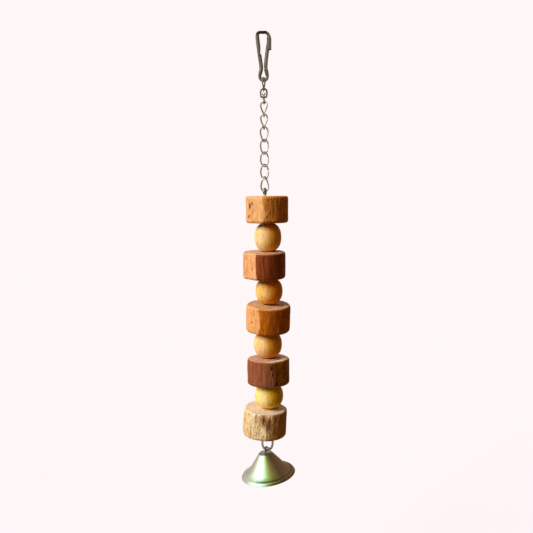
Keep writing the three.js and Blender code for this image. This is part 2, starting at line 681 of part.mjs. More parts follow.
add(toy, 'clip_frame', makeClipFrame(), nickel);
add(toy, 'clip_gate', makeClipGate(), nickel);
add(toy, 'top_link', makeTopLink(), steel).position.z = (topLinkHigh + topLinkLow) / 2;
add(toy, 'swivel_yoke', makeSwivelYoke(), nickel).position.z = (yokeHigh + yokeLow) / 2;
add(toy, 'swivel_eye', makeSwivelEye(), steel);
LINK_TURNS.forEach((turn, place) => {
  const link = add(toy, `chain_link_${place + 1}`, makeChainLink(turn), steel);
  link.position.z = linkHigh(place) - LINK_LENGTH / 2;
});
add(toy, 'core_wire', makeCoreWire(), steel);
BLOCKS.forEach((block, place) => {
  const mesh = add(toy, `block_${place + 1}`, makeBlock(block), barks[place]);
  mesh.position.z = stack.blocks[place];
  mesh.rotation.set(radians(block.nod), radians(block.lean), 0);
});
BEADS.forEach((bead, place) => {
  add(toy, `bead_${place + 1}`, makeBead(bead), beadWoods[place]).position.z = stack.beads[place];
});

const bellGroup = new THREE.Group();
bellGroup.position.z = lowerEyeLow;
bellGroup.rotation.y = -radians(BELL_TILT);
add(bellGroup, 'bell', makeBell(), zinc);
add(bellGroup, 'bell_hanger', makeBellHanger(), crownMetal);
add(bellGroup, 'clapper_rod', makeClapperRod(), steel);
add(bellGroup, 'clapper_ball', makeClapperBall(), crownMetal);
toy.add(bellGroup);

export default toy;
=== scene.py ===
# A hanging cage toy: spring clip, swivel, twisted chain, slices of branch, turned beads and a bell.
# Sizes are in millimetres until a piece is finished, and then in metres.
import math

import bmesh
import bpy
from mathutils import Matrix, Vector, noise


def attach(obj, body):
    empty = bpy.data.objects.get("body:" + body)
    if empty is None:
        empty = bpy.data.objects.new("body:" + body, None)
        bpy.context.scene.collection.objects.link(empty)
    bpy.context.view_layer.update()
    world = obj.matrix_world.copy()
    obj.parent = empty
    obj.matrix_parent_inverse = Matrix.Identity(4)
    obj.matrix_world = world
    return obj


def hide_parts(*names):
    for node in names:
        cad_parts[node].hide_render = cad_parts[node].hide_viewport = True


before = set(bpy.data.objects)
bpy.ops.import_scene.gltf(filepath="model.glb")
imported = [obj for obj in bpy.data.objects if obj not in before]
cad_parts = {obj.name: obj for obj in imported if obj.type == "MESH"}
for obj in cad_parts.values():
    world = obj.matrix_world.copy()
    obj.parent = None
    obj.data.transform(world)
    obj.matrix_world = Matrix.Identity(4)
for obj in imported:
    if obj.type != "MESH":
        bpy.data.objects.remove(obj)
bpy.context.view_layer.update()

MM = 0.001
GAP = 0.3
TURNING_GAP = 1.5 * GAP

# Fineness: points round a section, steps along or round a piece, and how near makes one point of two
WIRE_SIDES = 20
STRIP_SIDES = 24
STRIP_STEPS = 10
LINK_STEPS = 72
EYE_STEPS = 48
LOWER_EYE_STEPS = 40
YOKE_STEPS = 96
HANGER_STEPS = 120
HEAD_STEPS = 36
BLOCK_STEPS = 220
BEAD_STEPS = 96
BELL_STEPS = 128
BALL_STEPS = 64
DRILL_SIDES = 32
SAME_POINT = 0.002

# Edges stay sharp above so many degrees, and a wire's cut end is this share of its gauge
WIRE_SHARP = 40
CUT_SHARP = 35
TURNED_SHARP = 50
BRANCH_SHARP = 60
WIRE_END = 0.72

# Clip
CLIP_WIRE = 2.5
HOOK_HALF_WIDTH = 3.8
HOOK_TOP_THICKNESS = 1.35
HOOK_TOP_DEPTH = 3.8
BEARING_LENGTH = 3.0
BEARING_OFFSET = 0.7
SHOULDER_DROP = 3.0
PINCH_HALF_WIDTH = 1.5
PINCH_DROP = 22.3
LOBE_WIRE = 2.0
LOBE_HALF_WIDTH = 2.5
LOBE_DROP = PINCH_DROP + 5.0
FOOT_DROP = LOBE_DROP + 2.7
GATE_WIRE = 2.4
NOSE_WIDTH = 3.0
NOSE_CHEEK = 0.55
NOSE_DROP = 10.3
GATE_TIP_DROP = NOSE_DROP - 3.9
GATE_TIP_X = HOOK_HALF_WIDTH - 0.55
SLOT_HALF = GATE_WIRE / 2 + GAP

# Swivel and chain
TOP_LINK_WIRE = 0.9
TOP_LINK_LENGTH = 8.45
TOP_LINK_WIDTH = 4.6
TOP_LINK_TURNS = (60, 90)
SWIVEL_PIN = 1.1
SWIVEL_HEAD = 2.3
SWIVEL_HEAD_HEIGHT = 1.8
YOKE_STRIP = 1.1
YOKE_DEPTH = 1.7
YOKE_EDGE = 0.6
YOKE_SHOULDER = 0.1
YOKE_ROOM = 0.85
SWIVEL_EYE_WIRE = 0.9
SWIVEL_EYE_RADIUS = 1.45
SWIVEL_EYE_TURN = 65
LINK_WIRE = 1.0
LINK_LENGTH = 9.5
LINK_WIDTH = 5.1
LINK_TWIST = 72
LINK_TURNS = (-55, -50, -26, -12, 0, 5, 26)
OVAL_SQUARENESS = 2.9

# Core wire
CORE_WIRE = 1.5
UPPER_EYE_RADIUS = 1.9
UPPER_EYE_TURN = 70
LOWER_EYE_HALF_WIDTH = 3.65
LOWER_EYE_LENGTH = 10.7
LOWER_EYE_SQUARENESS = 2.3

# Slices of branch: size, place on the wire, tip, flats in the rim as (bearing, depth), the span of
# bearings that keeps its bark or inner bark, how rough that is, the round of darker heartwood in its
# ends as (x, y, radius), and scars as (bearing, height, size)
BORE = 4.8
RIM_ROUND = 1.8
BLOCKS = (
    dict(thickness=18.0, diameter=29.6, shift=(1.4, 0.5), nod=0.0, lean=0.0, rough=0.45, wander=9,
         peels=((-128, 1.3), (170, 0.7)), bark=(-101, 100), heart=(0.6, 0.6, 14.6),
         scars=((-147, 2.2, 1.5), (-138, 3.8, 0.9), (-150, -4.5, 1.0), (20, 3.0, 1.4))),
    dict(thickness=18.1, diameter=29.9, shift=(-0.9, -0.4), nod=0.9, lean=0.0, rough=0.35, wander=3,
         peels=((-139, 1.6), (60, 0.8)), bark=(-112, 150), heart=(-1.4, 0.4, 14.6),
         scars=((-128, -2.0, 0.9), (110, 2.0, 1.6))),
    dict(thickness=18.6, diameter=31.4, shift=(1.4, 0.3), nod=3.3, lean=1.6, rough=0.45, wander=6,
         peels=((-134, 0.8), (95, 1.0)), bark=(-114, 60), heart=(-0.4, 1.0, 15.6),
         scars=((-140, -1.5, 0.8), (140, 0.0, 1.8))),
    dict(thickness=18.1, diameter=29.7, shift=(1.2, -0.5), nod=-2.7, lean=0.0, rough=0.6, wander=6,
         peels=((-56, 0.7), (140, 1.2)), bark=(120, 287), heart=(-3.0, -1.5, 13.2),
         scars=((-66, -6.5, 1.0), (-80, 4.5, 1.1), (-77, -0.5, 0.9), (60, 1.0, 2.0))),
    dict(thickness=19.2, diameter=31.4, shift=(-1.6, 0.4), nod=0.6, lean=3.3, rough=1.1, wander=9,
         peels=((-100, 0.6), (30, 1.1)), bark=(-268, -74), heart=(-2.2, 0.6, 15.4),
         scars=((-91, 4.8, 3.2), (-82, 2.8, 3.2), (160, 0.0, 2.2))),
)
# Marks painted on each slice's points; worn is the rim of the sawn ends, lightened partly as wear and partly
# as a painted highlight
MARKS = ("bark", "scar", "deep", "sawn", "worn", "sap")
BEAD_SEAT = 8.0
BEAD_SQUARENESS = 2.35
BEAD_CHAMFER = 0.35
BEADS = (
    dict(height=19.0, diameter=18.4, shift=(1.7, 0.2)),
    dict(height=17.4, diameter=18.6, shift=(2.2, -0.3)),
    dict(height=18.3, diameter=19.5, shift=(1.0, 0.3)),
    dict(height=17.0, diameter=20.0, shift=(1.4, 0.0)),
)

# Bell
BELL_TILT = 7.5
BELL_HEIGHT = 16.0
BELL_WALL = 0.8
CROWN_DIAMETER = 10.0
CROWN_ROUND = 0.8
WAIST_DIAMETER = 27.6
WAIST_DROP = 12.0
RIM_DIAMETER = 38.4
HANGER_WIRE = 1.2
HANGER_WIDTH = 4.9
HANGER_ARCH = 3.7
HANGER_OFFSET = 1.9
HANGER_TURN = -52
CLAPPER_WIRE = 0.9
CLAPPER_EYE_RADIUS = 1.4
CLAPPER_BALL = 6.4
CLAPPER_BALL_DROP = 9.0

# Studio: floor in metres, camera's place and sensor in millimetres, its focal length and picture side in
# pixels, and its aim in degrees
FLOOR_HALF = 6.0
FLOOR_TOP = -0.44
FLOOR_THICKNESS = 0.01
CAMERA_PLACE = (0.6, -411.2, -103.25)
CAMERA_SENSOR = 36.0
CAMERA_FOCAL = 604.5
CAMERA_PICTURE = 533
CAMERA_DIP = 7
CAMERA_ROLL = -0.6


def mix(start, end, part):
    return start + (end - start) * part


def ease(value, low, high):
    """0 below low, 1 above high, and smooth between."""
    part = min(max((value - low) / (high - low), 0.0), 1.0)
    return part * part * (3 - 2 * part)


def signed(value, power):
    return math.copysign(abs(value) ** power, value)


# Heights down the toy, each from the piece above
top_link_high = -FOOT_DROP + LOBE_WIRE / 2 + GAP + TOP_LINK_WIRE / 2
top_link_low = top_link_high - TOP_LINK_LENGTH
yoke_high = top_link_low + TOP_LINK_WIRE / 2 + GAP + YOKE_STRIP / 2
yoke_height = YOKE_STRIP + GAP + TOP_LINK_WIRE + YOKE_ROOM + SWIVEL_HEAD_HEIGHT + TURNING_GAP
yoke_low = yoke_high - yoke_height
swivel_eye_high = yoke_low - YOKE_STRIP / 2 - GAP - SWIVEL_EYE_WIRE / 2
swivel_eye_low = swivel_eye_high - 2 * SWIVEL_EYE_RADIUS
first_link_high = swivel_eye_low + SWIVEL_EYE_WIRE / 2 + GAP + LINK_WIRE / 2
link_high = [first_link_high - place * (LINK_LENGTH - LINK_WIRE - GAP) for place in range(7)]
upper_eye_high = link_high[-1] - LINK_LENGTH + LINK_WIRE / 2 + GAP + CORE_WIRE / 2
upper_eye_low = upper_eye_high - 2 * UPPER_EYE_RADIUS


def tip_of(block):
    return math.radians(math.hypot(block["nod"], block["lean"]))


def seat_gap(block):
    return GAP + BEAD_SEAT / 2 * math.tan(tip_of(block))


def bore_shift(shift, thickness, tip):
    """Where a loose bore hangs on the wire: shifted with its piece as far as the play allows."""
    play = max(BORE / 2 - CORE_WIRE / 2 - GAP - thickness / 2 * math.tan(tip), 0.0)
    length = math.hypot(*shift)
    return Vector(shift) * min(1.0, play / length)


height = upper_eye_low - CORE_WIRE / 2 - seat_gap(BLOCKS[0])
for place, block in enumerate(BLOCKS):
    block["middle"] = height - block["thickness"] / 2
    height -= block["thickness"] + seat_gap(block)
    if place < len(BEADS):
        BEADS[place]["middle"] = height - BEADS[place]["height"] / 2
        height -= BEADS[place]["height"] + seat_gap(BLOCKS[place + 1])
lower_eye_high = height - CORE_WIRE / 2
lower_eye_low = lower_eye_high - LOWER_EYE_LENGTH
arch_high = CORE_WIRE / 2 + TURNING_GAP + HANGER_WIRE / 2
crown_height = arch_high - HANGER_ARCH
bar_height = crown_height - BELL_WALL - HANGER_WIRE / 2 - CLAPPER_WIRE - 3 * GAP
bell_place = Matrix.Translation((0, 0, lower_eye_low)) @ Matrix.Rotation(-math.radians(BELL_TILT), 4, "Y")


# Shader maths

class Value:
    """A shader socket that takes part in sums like a number."""

    def __init__(self, finish, socket):
        self.finish = finish
        self.socket = socket

    def maths(self, operation, *values):
        return self.finish.node("ShaderNodeMath", {"operation": operation}, dict(enumerate(values)))

    def __add__(self, other):
        return self.maths("ADD", self, other)

    def __sub__(self, other):
        return self.maths("SUBTRACT", self, other)

    def __mul__(self, other):
        return self.maths("MULTIPLY", self, other)


class Finish:
    """One material, made node by node round its shader."""

    def __init__(self, name, **constants):
        self.material = bpy.data.materials.new(name)
        self.material.use_nodes = True
        self.tree = self.material.node_tree
        self.shader = self.tree.nodes["Principled BSDF"]
        for socket, value in constants.items():
            self.feed(socket.replace("_", " "), value)

    def node(self, kind, settings=None, values=None, output=0):
        """Adds a node, sets it up, then fills its sockets with numbers, colours or links."""
        made = self.tree.nodes.new(kind)
        for name, value in (settings or {}).items():
            if name == "stops":
                marks = made.color_ramp.elements
                while len(marks) < len(value):
                    marks.new(1.0)
                for mark, (position, colour) in zip(marks, value):
                    mark.position = position
                    mark.color = colour
            else:
                setattr(made, name, value)
        for name, value in (values or {}).items():
            self.fill(made.inputs[name], value)
        return Value(self, made.outputs[output])

    def fill(self, socket, value):
        if isinstance(value, Value):
            self.tree.links.new(value.socket, socket)
        else:
            socket.default_value = value

    def feed(self, name, value):
        self.fill(self.shader.inputs[name], value)

    def place(self, centre=(0, 0, 0), stretch=(1, 1, 1)):
        """Object coordinates in millimetres from a centre, drawn out along the axes by stretch."""
        coordinates = self.node("ShaderNodeTexCoord", output=3)
        return self.node("ShaderNodeMapping", {}, {
            "Vector": coordinates,
            "Location": tuple(-middle / draw for middle, draw in zip(centre, stretch)),
            "Scale": tuple(1 / (MM * draw) for draw in stretch),
        })

    def cloud(self, vector, scale, detail=4.0, roughness=0.55, warp=0.0):
        """Soft noise round 0.5, with a feature size of 1 / scale millimetres."""
        return self.node("ShaderNodeTexNoise", {}, {
            "Vector": vector, "Scale": scale, "Detail": detail, "Roughness": roughness, "Distortion": warp,
        })

    def between(self, value, low, high, start=0.0, end=1.0):
        """Carries a value from one range to another, smoothly, and holds it at the ends."""
        settings = {"interpolation_type": "SMOOTHSTEP"}
        values = {"Value": value, "From Min": low, "From Max": high, "To Min": start, "To Max": end}
        return self.node("ShaderNodeMapRange", settings, values)

    def blend(self, part, first, second):
        return self.node("ShaderNodeMix", {"data_type": "RGBA"}, {0: part, 6: first, 7: second}, output=2)

    def ramp(self, value, *stops):
        return self.node("ShaderNodeValToRGB", {"stops": stops}, {"Fac": value})

    def mark(self, name):
        """A number painted on the piece's points."""
        return self.node("ShaderNodeAttribute", {"attribute_name": name}, output=2)

    def bump(self, value, depth):
        """Relief in the surface's shading, depth millimetres for a change of 1."""
        self.feed("Normal", self.node("ShaderNodeBump", {}, {"Height": value, "Distance": depth * MM}))


class Sky(Finish):
    """The studio's surroundings, made in the same way round their background shader."""

    def __init__(self, world):
        world.use_nodes = True
        self.tree = world.node_tree
        self.shader = self.tree.nodes["Background"]


def tone(red, green, blue):
    """A colour as seen on a screen, 0 to 255, as the shader's own values."""
    def light(part):
        part /= 255
        return part / 12.92 if part <= 0.04045 else ((part + 0.055) / 1.055) ** 2.4
    return light(red), light(green), light(blue), 1.0


# Making pieces

def finished(name, bm, finish, body, place=None, sharp=WIRE_SHARP):
    """Closes and smooths a mesh made in millimetres, and seats it in the frame in its node's place."""
    bmesh.ops.remove_doubles(bm, verts=bm.verts, dist=SAME_POINT)
    bmesh.ops.recalc_face_normals(bm, faces=bm.faces)
    if place is not None:
        bmesh.ops.transform(bm, matrix=place, verts=bm.verts)
    bmesh.ops.scale(bm, vec=(MM, MM, MM), verts=bm.verts)
    mesh = bpy.data.meshes.new(name)
    bm.to_mesh(mesh)
    bm.free()
    mesh.shade_smooth()
    mesh.set_sharp_from_angle(angle=math.radians(sharp))
    mesh.materials.append(finish.material)
    piece = bpy.data.objects.new(name + "_made", mesh)
    bpy.context.scene.collection.objects.link(piece)
    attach(piece, body)
    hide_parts(name)
    return piece


def painted(bm, rule):
    """Paints shade on every point from its place and the way it faces, in millimetres."""
    bmesh.ops.recalc_face_normals(bm, faces=bm.faces)
    bm.normal_update()
    layer = bm.verts.layers.float.new("tarnish")
    for point in bm.verts:
        point[layer] = rule(point.co, point.normal)


def inner_side(high, low):
    """Painted shade on the inner side of a loop that hangs between two heights, most at its two ends."""
    def rule(co, facing):
        middle = Vector((0, 0, (high + low) / 2))
        inward = -facing.dot((co - middle).normalized())
        worn = ease(abs(co.z - middle.z) / (high - low), 0.3, 0.52)
        return ease(inward, -0.1, 0.9) * mix(0.55, 1.0, worn)
    return rule


def ring(bm, centre, across, deep, square=2.0, sides=WIRE_SIDES):
    """One closed ring of points, round or nearly square, and the edges round it."""
    points = bmesh.ops.create_circle(bm, segments=sides, radius=1.0)["verts"]
    edges = list({edge for point in points for edge in point.link_edges})
    for point in points:
        x, y = point.co.xy
        point.co = centre + across * signed(x, 2 / square) + deep * signed(y, 2 / square)
    return edges


def skin(bm, rings, closed):
    """Bridges each ring to the next, and caps the ends of an open row."""
    following = rings[1:] + (rings[:1] if closed else [])
    for before, after in zip(rings, following):
        bmesh.ops.bridge_loops(bm, edges=before + after)
    if not closed:
        for end in (rings[0], rings[-1]):
            bmesh.ops.contextual_create(bm, geom=end)


def bent(bm, points, radius, closed=False):
    """Round wire along a line of points, with softly rounded cut ends when it is open."""
    count = len(points)
    across = None
    rings = []
    for place, point in enumerate(points):
        ahead = points[(place + 1) % count] if closed else points[min(place + 1, count - 1)]
        behind = points[place - 1] if closed or place else point
        along = (ahead - behind).normalized()
        across = along.orthogonal() if across is None else across - along * across.dot(along)
        across.normalize()
        cut_end = not closed and place in (0, count - 1)
        size = radius * (WIRE_END if cut_end else 1.0)
        rings.append(ring(bm, point, across * size, along.cross(across) * size))
        if cut_end:
            inward = along if place == 0 else -along
            shift = inward * radius * (1 - WIRE_END)
            extra = ring(bm, point + shift, across * radius, along.cross(across) * radius)
            rings.insert(len(rings) - (0 if place == 0 else 1), extra)
    skin(bm, rings, closed)


def spun(bm, profile, steps, closed=True):
    """Turns a profile of (radius, height) about the Z axis."""
    points = [bm.verts.new((radius, 0, height)) for radius, height in profile]
    pairs = zip(points, points[1:] + (points[:1] if closed else []))
    edges = [bm.edges.new(pair) for pair in pairs]
    bmesh.ops.spin(bm, geom=points + edges, cent=(0, 0, 0), axis=(0, 0, 1),
                   angle=2 * math.pi, steps=steps, use_merge=True)
    bmesh.ops.remove_doubles(bm, verts=bm.verts, dist=SAME_POINT)


def curved(before, start, end, after, part):
    """A point between two stops of a smooth line that passes through all its stops."""
    pairs = ((before, start), (start, end), (end, after))
    a, b, c = (math.sqrt(max((far - near).length, 1e-6)) for near, far in pairs)
    leave = ((start - before) / a - (end - before) / (a + b) + (end - start) / b) * b
    arrive = ((end - start) / b - (after - start) / (b + c) + (after - end) / c) * b
    square, cube = part ** 2, part ** 3
    return (start * (2 * cube - 3 * square + 1) + leave * (cube - 2 * square + part)
            + end * (3 * square - 2 * cube) + arrive * (cube - square))


def smooth_line(stops, steps):
    """Points on the smooth line through the stops, so many to a stretch."""
    path = [2 * stops[0] - stops[1], *stops, 2 * stops[-1] - stops[-2]]
    points = []
    for place in range(len(stops) - 1):
        points += [curved(*path[place:place + 4], step / steps) for step in range(steps)]
    return points + [stops[-1]]


def carved(piece, *cutters):
    """Cuts tools away from a finished piece."""
    for cutter in cutters:
        tool = bpy.data.objects.new("tool", bpy.data.meshes.new("tool"))
        bmesh.ops.scale(cutter, vec=(MM, MM, MM), verts=cutter.verts)
        bmesh.ops.recalc_face_normals(cutter, faces=cutter.faces)
        cutter.to_mesh(tool.data)
        cutter.free()
        bpy.context.scene.collection.objects.link(tool)
        cut = piece.modifiers.new("cut", "BOOLEAN")
        cut.operation = "DIFFERENCE"
        cut.solver = "EXACT"
        cut.object = tool
        shown = piece.evaluated_get(bpy.context.evaluated_depsgraph_get())
        left = bpy.data.meshes.new_from_object(shown)
        piece.modifiers.clear()
        piece.data = left
        bpy.data.objects.remove(tool)
    piece.data.shade_smooth()
    piece.data.set_sharp_from_angle(angle=math.radians(CUT_SHARP))


def touched_up(piece, rule):
    """Paints a carved piece again, because its cut faces are new."""
    marks = piece.data.attributes["tarnish"].data
    for point, facing, mark in zip(piece.data.vertices, piece.data.vertex_normals, marks):
        mark.value = rule(point.co / MM, facing.vector)


def brick(low, high):
    """A box-shaped tool between two corners."""
    bm = bmesh.new()
    low, high = Vector(low), Vector(high)
    place = Matrix.Translation((low + high) / 2) @ Matrix.Diagonal((*(high - low), 1))
    bmesh.ops.create_cube(bm, size=1.0, matrix=place)
    return bm


def drill(radius, low, high, place=Matrix.Identity(4)):
    """A round tool about the Z axis between two heights."""
    bm = bmesh.new()
    bmesh.ops.create_cone(bm, cap_ends=True, segments=DRILL_SIDES, radius1=radius, radius2=radius,
                          depth=high - low, matrix=place @ Matrix.Translation((0, 0, (low + high) / 2)))
    return bm


def rod(bm, radius, low, high):
    """A straight round rod about the Z axis between two heights."""
    across, deep = Vector((radius, 0, 0)), Vector((0, radius, 0))
    skin(bm, [ring(bm, Vector((0, 0, level)), across, deep) for level in (low, high)], False)


def oval(length, width, upper_turn, lower_turn, middle, steps=LINK_STEPS, square=OVAL_SQUARENESS):
    """Centre line of a link: a full oval whose ends are turned about the vertical."""
    points = []
    for step in range(steps):
        angle = 2 * math.pi * step / steps
        out = width / 2 * signed(math.cos(angle), 2 / square)
        up = length / 2 * signed(math.sin(angle), 2 / square)
        turn = math.radians(mix(lower_turn, upper_turn, ease(up / length, -0.5, 0.5)))
        points.append(Vector((out * math.cos(turn), out * math.sin(turn), middle + up)))
    return points


def eye_line(radius, turn, high, steps=EYE_STEPS, start=0.0, sweep=360.0):
    """Points round an upright ring, from its foot, starting and sweeping by so many degrees."""
    turn = math.radians(turn)
    points = []
    for step in range(steps):
        angle = math.radians(start + sweep * step / steps - 90)
        out = radius * math.cos(angle)
        up = high - radius + radius * math.sin(angle)
        points.append(Vector((out * math.cos(turn), out * math.sin(turn), up)))
    return points


# Finishes of the metal pieces

def drawn_metal(name, pale, dull, tarnish, roughness):
    """Plated or bright wire, dulled in patches and along the drawing lines, darker where shade is painted on
    its points.
    """
    finish = Finish(name, Metallic=1.0, Specular_Tint=(0.5, 0.47, 0.41, 1.0))
    lines = finish.cloud(finish.place(stretch=(0.9, 0.9, 16.0)), 1.0, 2.0, 0.5)
    patches = finish.cloud(finish.place(stretch=(1.5, 1.5, 4.0)), 0.5, 2.0, 0.5)
    dull_part = finish.between(lines, 0.38, 0.62) * 0.4 + finish.between(patches, 0.36, 0.66) * 0.4
    colour = finish.blend(dull_part, pale, dull)
    # Painted shade: the mark painted on the points darkens the colour towards the darkest tone
    shade_part = finish.mark("tarnish") * (finish.between(patches, 0.3, 0.6) * 0.3 + 0.7)
    finish.feed("Base Color", finish.blend(shade_part, colour, tarnish))
    finish.feed("Roughness", finish.between(patches, 0.3, 0.75, roughness * 0.85, roughness * 1.3))
    finish.bump(finish.cloud(finish.place(stretch=(0.6, 0.6, 9.0)), 1.0, 2.0, 0.5), 0.004)
    return finish


# Each metal's pale and dull tones, then the tone of its painted shade
clip_metal = drawn_metal("clip_nickel", tone(108, 99, 84), tone(72, 65, 54), tone(34, 30, 25), 0.4)
chain_metal = drawn_metal("chain_steel", tone(158, 154, 140), tone(116, 110, 96), tone(40, 36, 28), 0.34)
core_metal = drawn_metal("core_steel", tone(150, 141, 122), tone(100, 90, 74), tone(42, 36, 28), 0.34)
yoke_metal = drawn_metal("yoke_nickel", tone(106, 98, 86), tone(68, 61, 52), tone(36, 32, 26), 0.4)
pin_metal = drawn_metal("pin_bright", tone(186, 184, 172), tone(140, 136, 124), tone(70, 64, 54), 0.3)
hanger_metal = drawn_metal("hanger_wire", tone(150, 140, 122), tone(92, 82, 68), tone(44, 38, 30), 0.38)


# Clip

def clip_sections():
    """Stops along the clip's wire: x, z, width, depth and squareness."""
    wire = (CLIP_WIRE, CLIP_WIRE, 2.0)
    lobe = (LOBE_WIRE, LOBE_WIRE, 2.0)
    nose = (NOSE_WIDTH, 2 * (SLOT_HALF + NOSE_CHEEK), 3.0)
    top = (HOOK_TOP_THICKNESS, HOOK_TOP_DEPTH, 5.0)
    turn = (mix(HOOK_TOP_THICKNESS, CLIP_WIRE, 0.5), mix(HOOK_TOP_DEPTH, CLIP_WIRE, 0.4), 3.0)
    top_height = 0.43 * HOOK_TOP_THICKNESS

    def leg(drop):
        return -mix(HOOK_HALF_WIDTH, PINCH_HALF_WIDTH, (drop - SHOULDER_DROP) / (PINCH_DROP - SHOULDER_DROP))

    flank = mix(PINCH_HALF_WIDTH, LOBE_HALF_WIDTH, 0.6)
    flank_height = -PINCH_DROP - 0.55 * (LOBE_DROP - PINCH_DROP)
    heel = 0.72 * LOBE_HALF_WIDTH
    heel_height = -LOBE_DROP - 0.72 * (FOOT_DROP - LOBE_DROP)
    return [
        (HOOK_HALF_WIDTH, -NOSE_DROP, *nose),
        (HOOK_HALF_WIDTH, -0.6 * NOSE_DROP, *nose),
        (HOOK_HALF_WIDTH, -0.32 * NOSE_DROP, *nose),
        (0.86 * HOOK_HALF_WIDTH, -0.27 * SHOULDER_DROP, *turn),
        (0.5 * HOOK_HALF_WIDTH, 0.8 * top_height, *top),
        (0, top_height, *top),
        (-0.55 * HOOK_HALF_WIDTH, top_height, *top),
        (-0.93 * HOOK_HALF_WIDTH, 0, *turn),
        (-HOOK_HALF_WIDTH, -0.67 * SHOULDER_DROP, *wire),
        (leg(1.67 * SHOULDER_DROP), -1.67 * SHOULDER_DROP, *wire),
        (leg(0.6 * PINCH_DROP), -0.6 * PINCH_DROP, *wire),
        (-PINCH_HALF_WIDTH, -PINCH_DROP, *wire),
        (-flank, flank_height, *wire),
        (-LOBE_HALF_WIDTH, -LOBE_DROP, *lobe),
        (-heel, heel_height, *lobe),
        (0, -FOOT_DROP, *lobe),
        (heel, heel_height, *lobe),
        (LOBE_HALF_WIDTH, -LOBE_DROP, *lobe),
        (flank, flank_height, *wire),
        (PINCH_HALF_WIDTH, -PINCH_DROP - GAP / 2, *wire),
    ]


def strip_along(bm, stops):
    """Wire in the XZ plane whose section changes from stop to stop."""
    line = smooth_line([Vector((stop[0], 0, stop[1])) for stop in stops], STRIP_STEPS)
    rings = []
    for place, point in enumerate(line):
        before, part = min(divmod(place, STRIP_STEPS), (len(stops) - 2, STRIP_STEPS))
        start, end = stops[before], stops[before + 1]
        width, depth, square = (mix(start[key], end[key], part / STRIP_STEPS) for key in (2, 3, 4))
        along = (line[min(place + 1, len(line) - 1)] - line[max(place - 1, 0)]).normalized()
        across = Vector((along.z, 0, -along.x))
        rings.append(ring(bm, point, across * width / 2, Vector((0, depth / 2, 0)), square, STRIP_SIDES))
    skin(bm, rings, False)


def clip_painted_shade(co, facing):
    """Painted shade on the sides that face into the clip, under its flattened top and in the crook of its
    lobe.
    """
    inward = -facing.x * math.copysign(1.0, co.x)
    under = ease(-facing.z, 0.2, 0.8) * ease(co.z, -1.5, -0.2)
    band = ease(co.z, -1.4, -0.7) * (1 - ease(co.x, 1.4, 2.8)) * (1 - ease(facing.z, 0.6, 0.95))
    return max(0.85 * ease(inward, 0.1, 0.85), under, band)


def make_clip():
    bm = bmesh.new()
    strip_along(bm, clip_sections())
    painted(bm, clip_painted_shade)
    frame_piece = finished("clip_frame", bm, clip_metal, "clip")
    bearing = brick((-BEARING_OFFSET - BEARING_LENGTH / 2, -HOOK_TOP_DEPTH, -HOOK_TOP_THICKNESS),
                    (-BEARING_OFFSET + BEARING_LENGTH / 2, HOOK_TOP_DEPTH, 0))
    slot = brick((-HOOK_HALF_WIDTH / 2, -SLOT_HALF, -NOSE_DROP - NOSE_WIDTH),
                 (GATE_TIP_X + SLOT_HALF, SLOT_HALF, -GATE_TIP_DROP + GAP))
    root = brick((0, -CLIP_WIRE, -PINCH_DROP - GAP / 2), (2 * CLIP_WIRE, CLIP_WIRE, -PINCH_DROP + CLIP_WIRE))
    carved(frame_piece, bearing, slot, root)
    touched_up(frame_piece, clip_painted_shade)

    def at(part):
        return mix(PINCH_HALF_WIDTH, GATE_TIP_X, part)

    def drop(part):
        return -mix(PINCH_DROP - GAP, GATE_TIP_DROP, part)

    wire = (GATE_WIRE, GATE_WIRE, 2.0)
    bm = bmesh.new()
    strip_along(bm, [
        (PINCH_HALF_WIDTH, drop(0), *wire),
        (PINCH_HALF_WIDTH, drop(0.1), *wire),
        (at(0.15), drop(0.3), *wire),
        (at(0.58), drop(0.65), *wire),
        (at(0.94), drop(0.94), *wire),
        (at(1), drop(1), 0.7 * GATE_WIRE, 0.7 * GATE_WIRE, 2.0),
    ])
    painted(bm, clip_painted_shade)
    finished("clip_gate", bm, clip_metal, "clip_gate")


# Swivel and chain

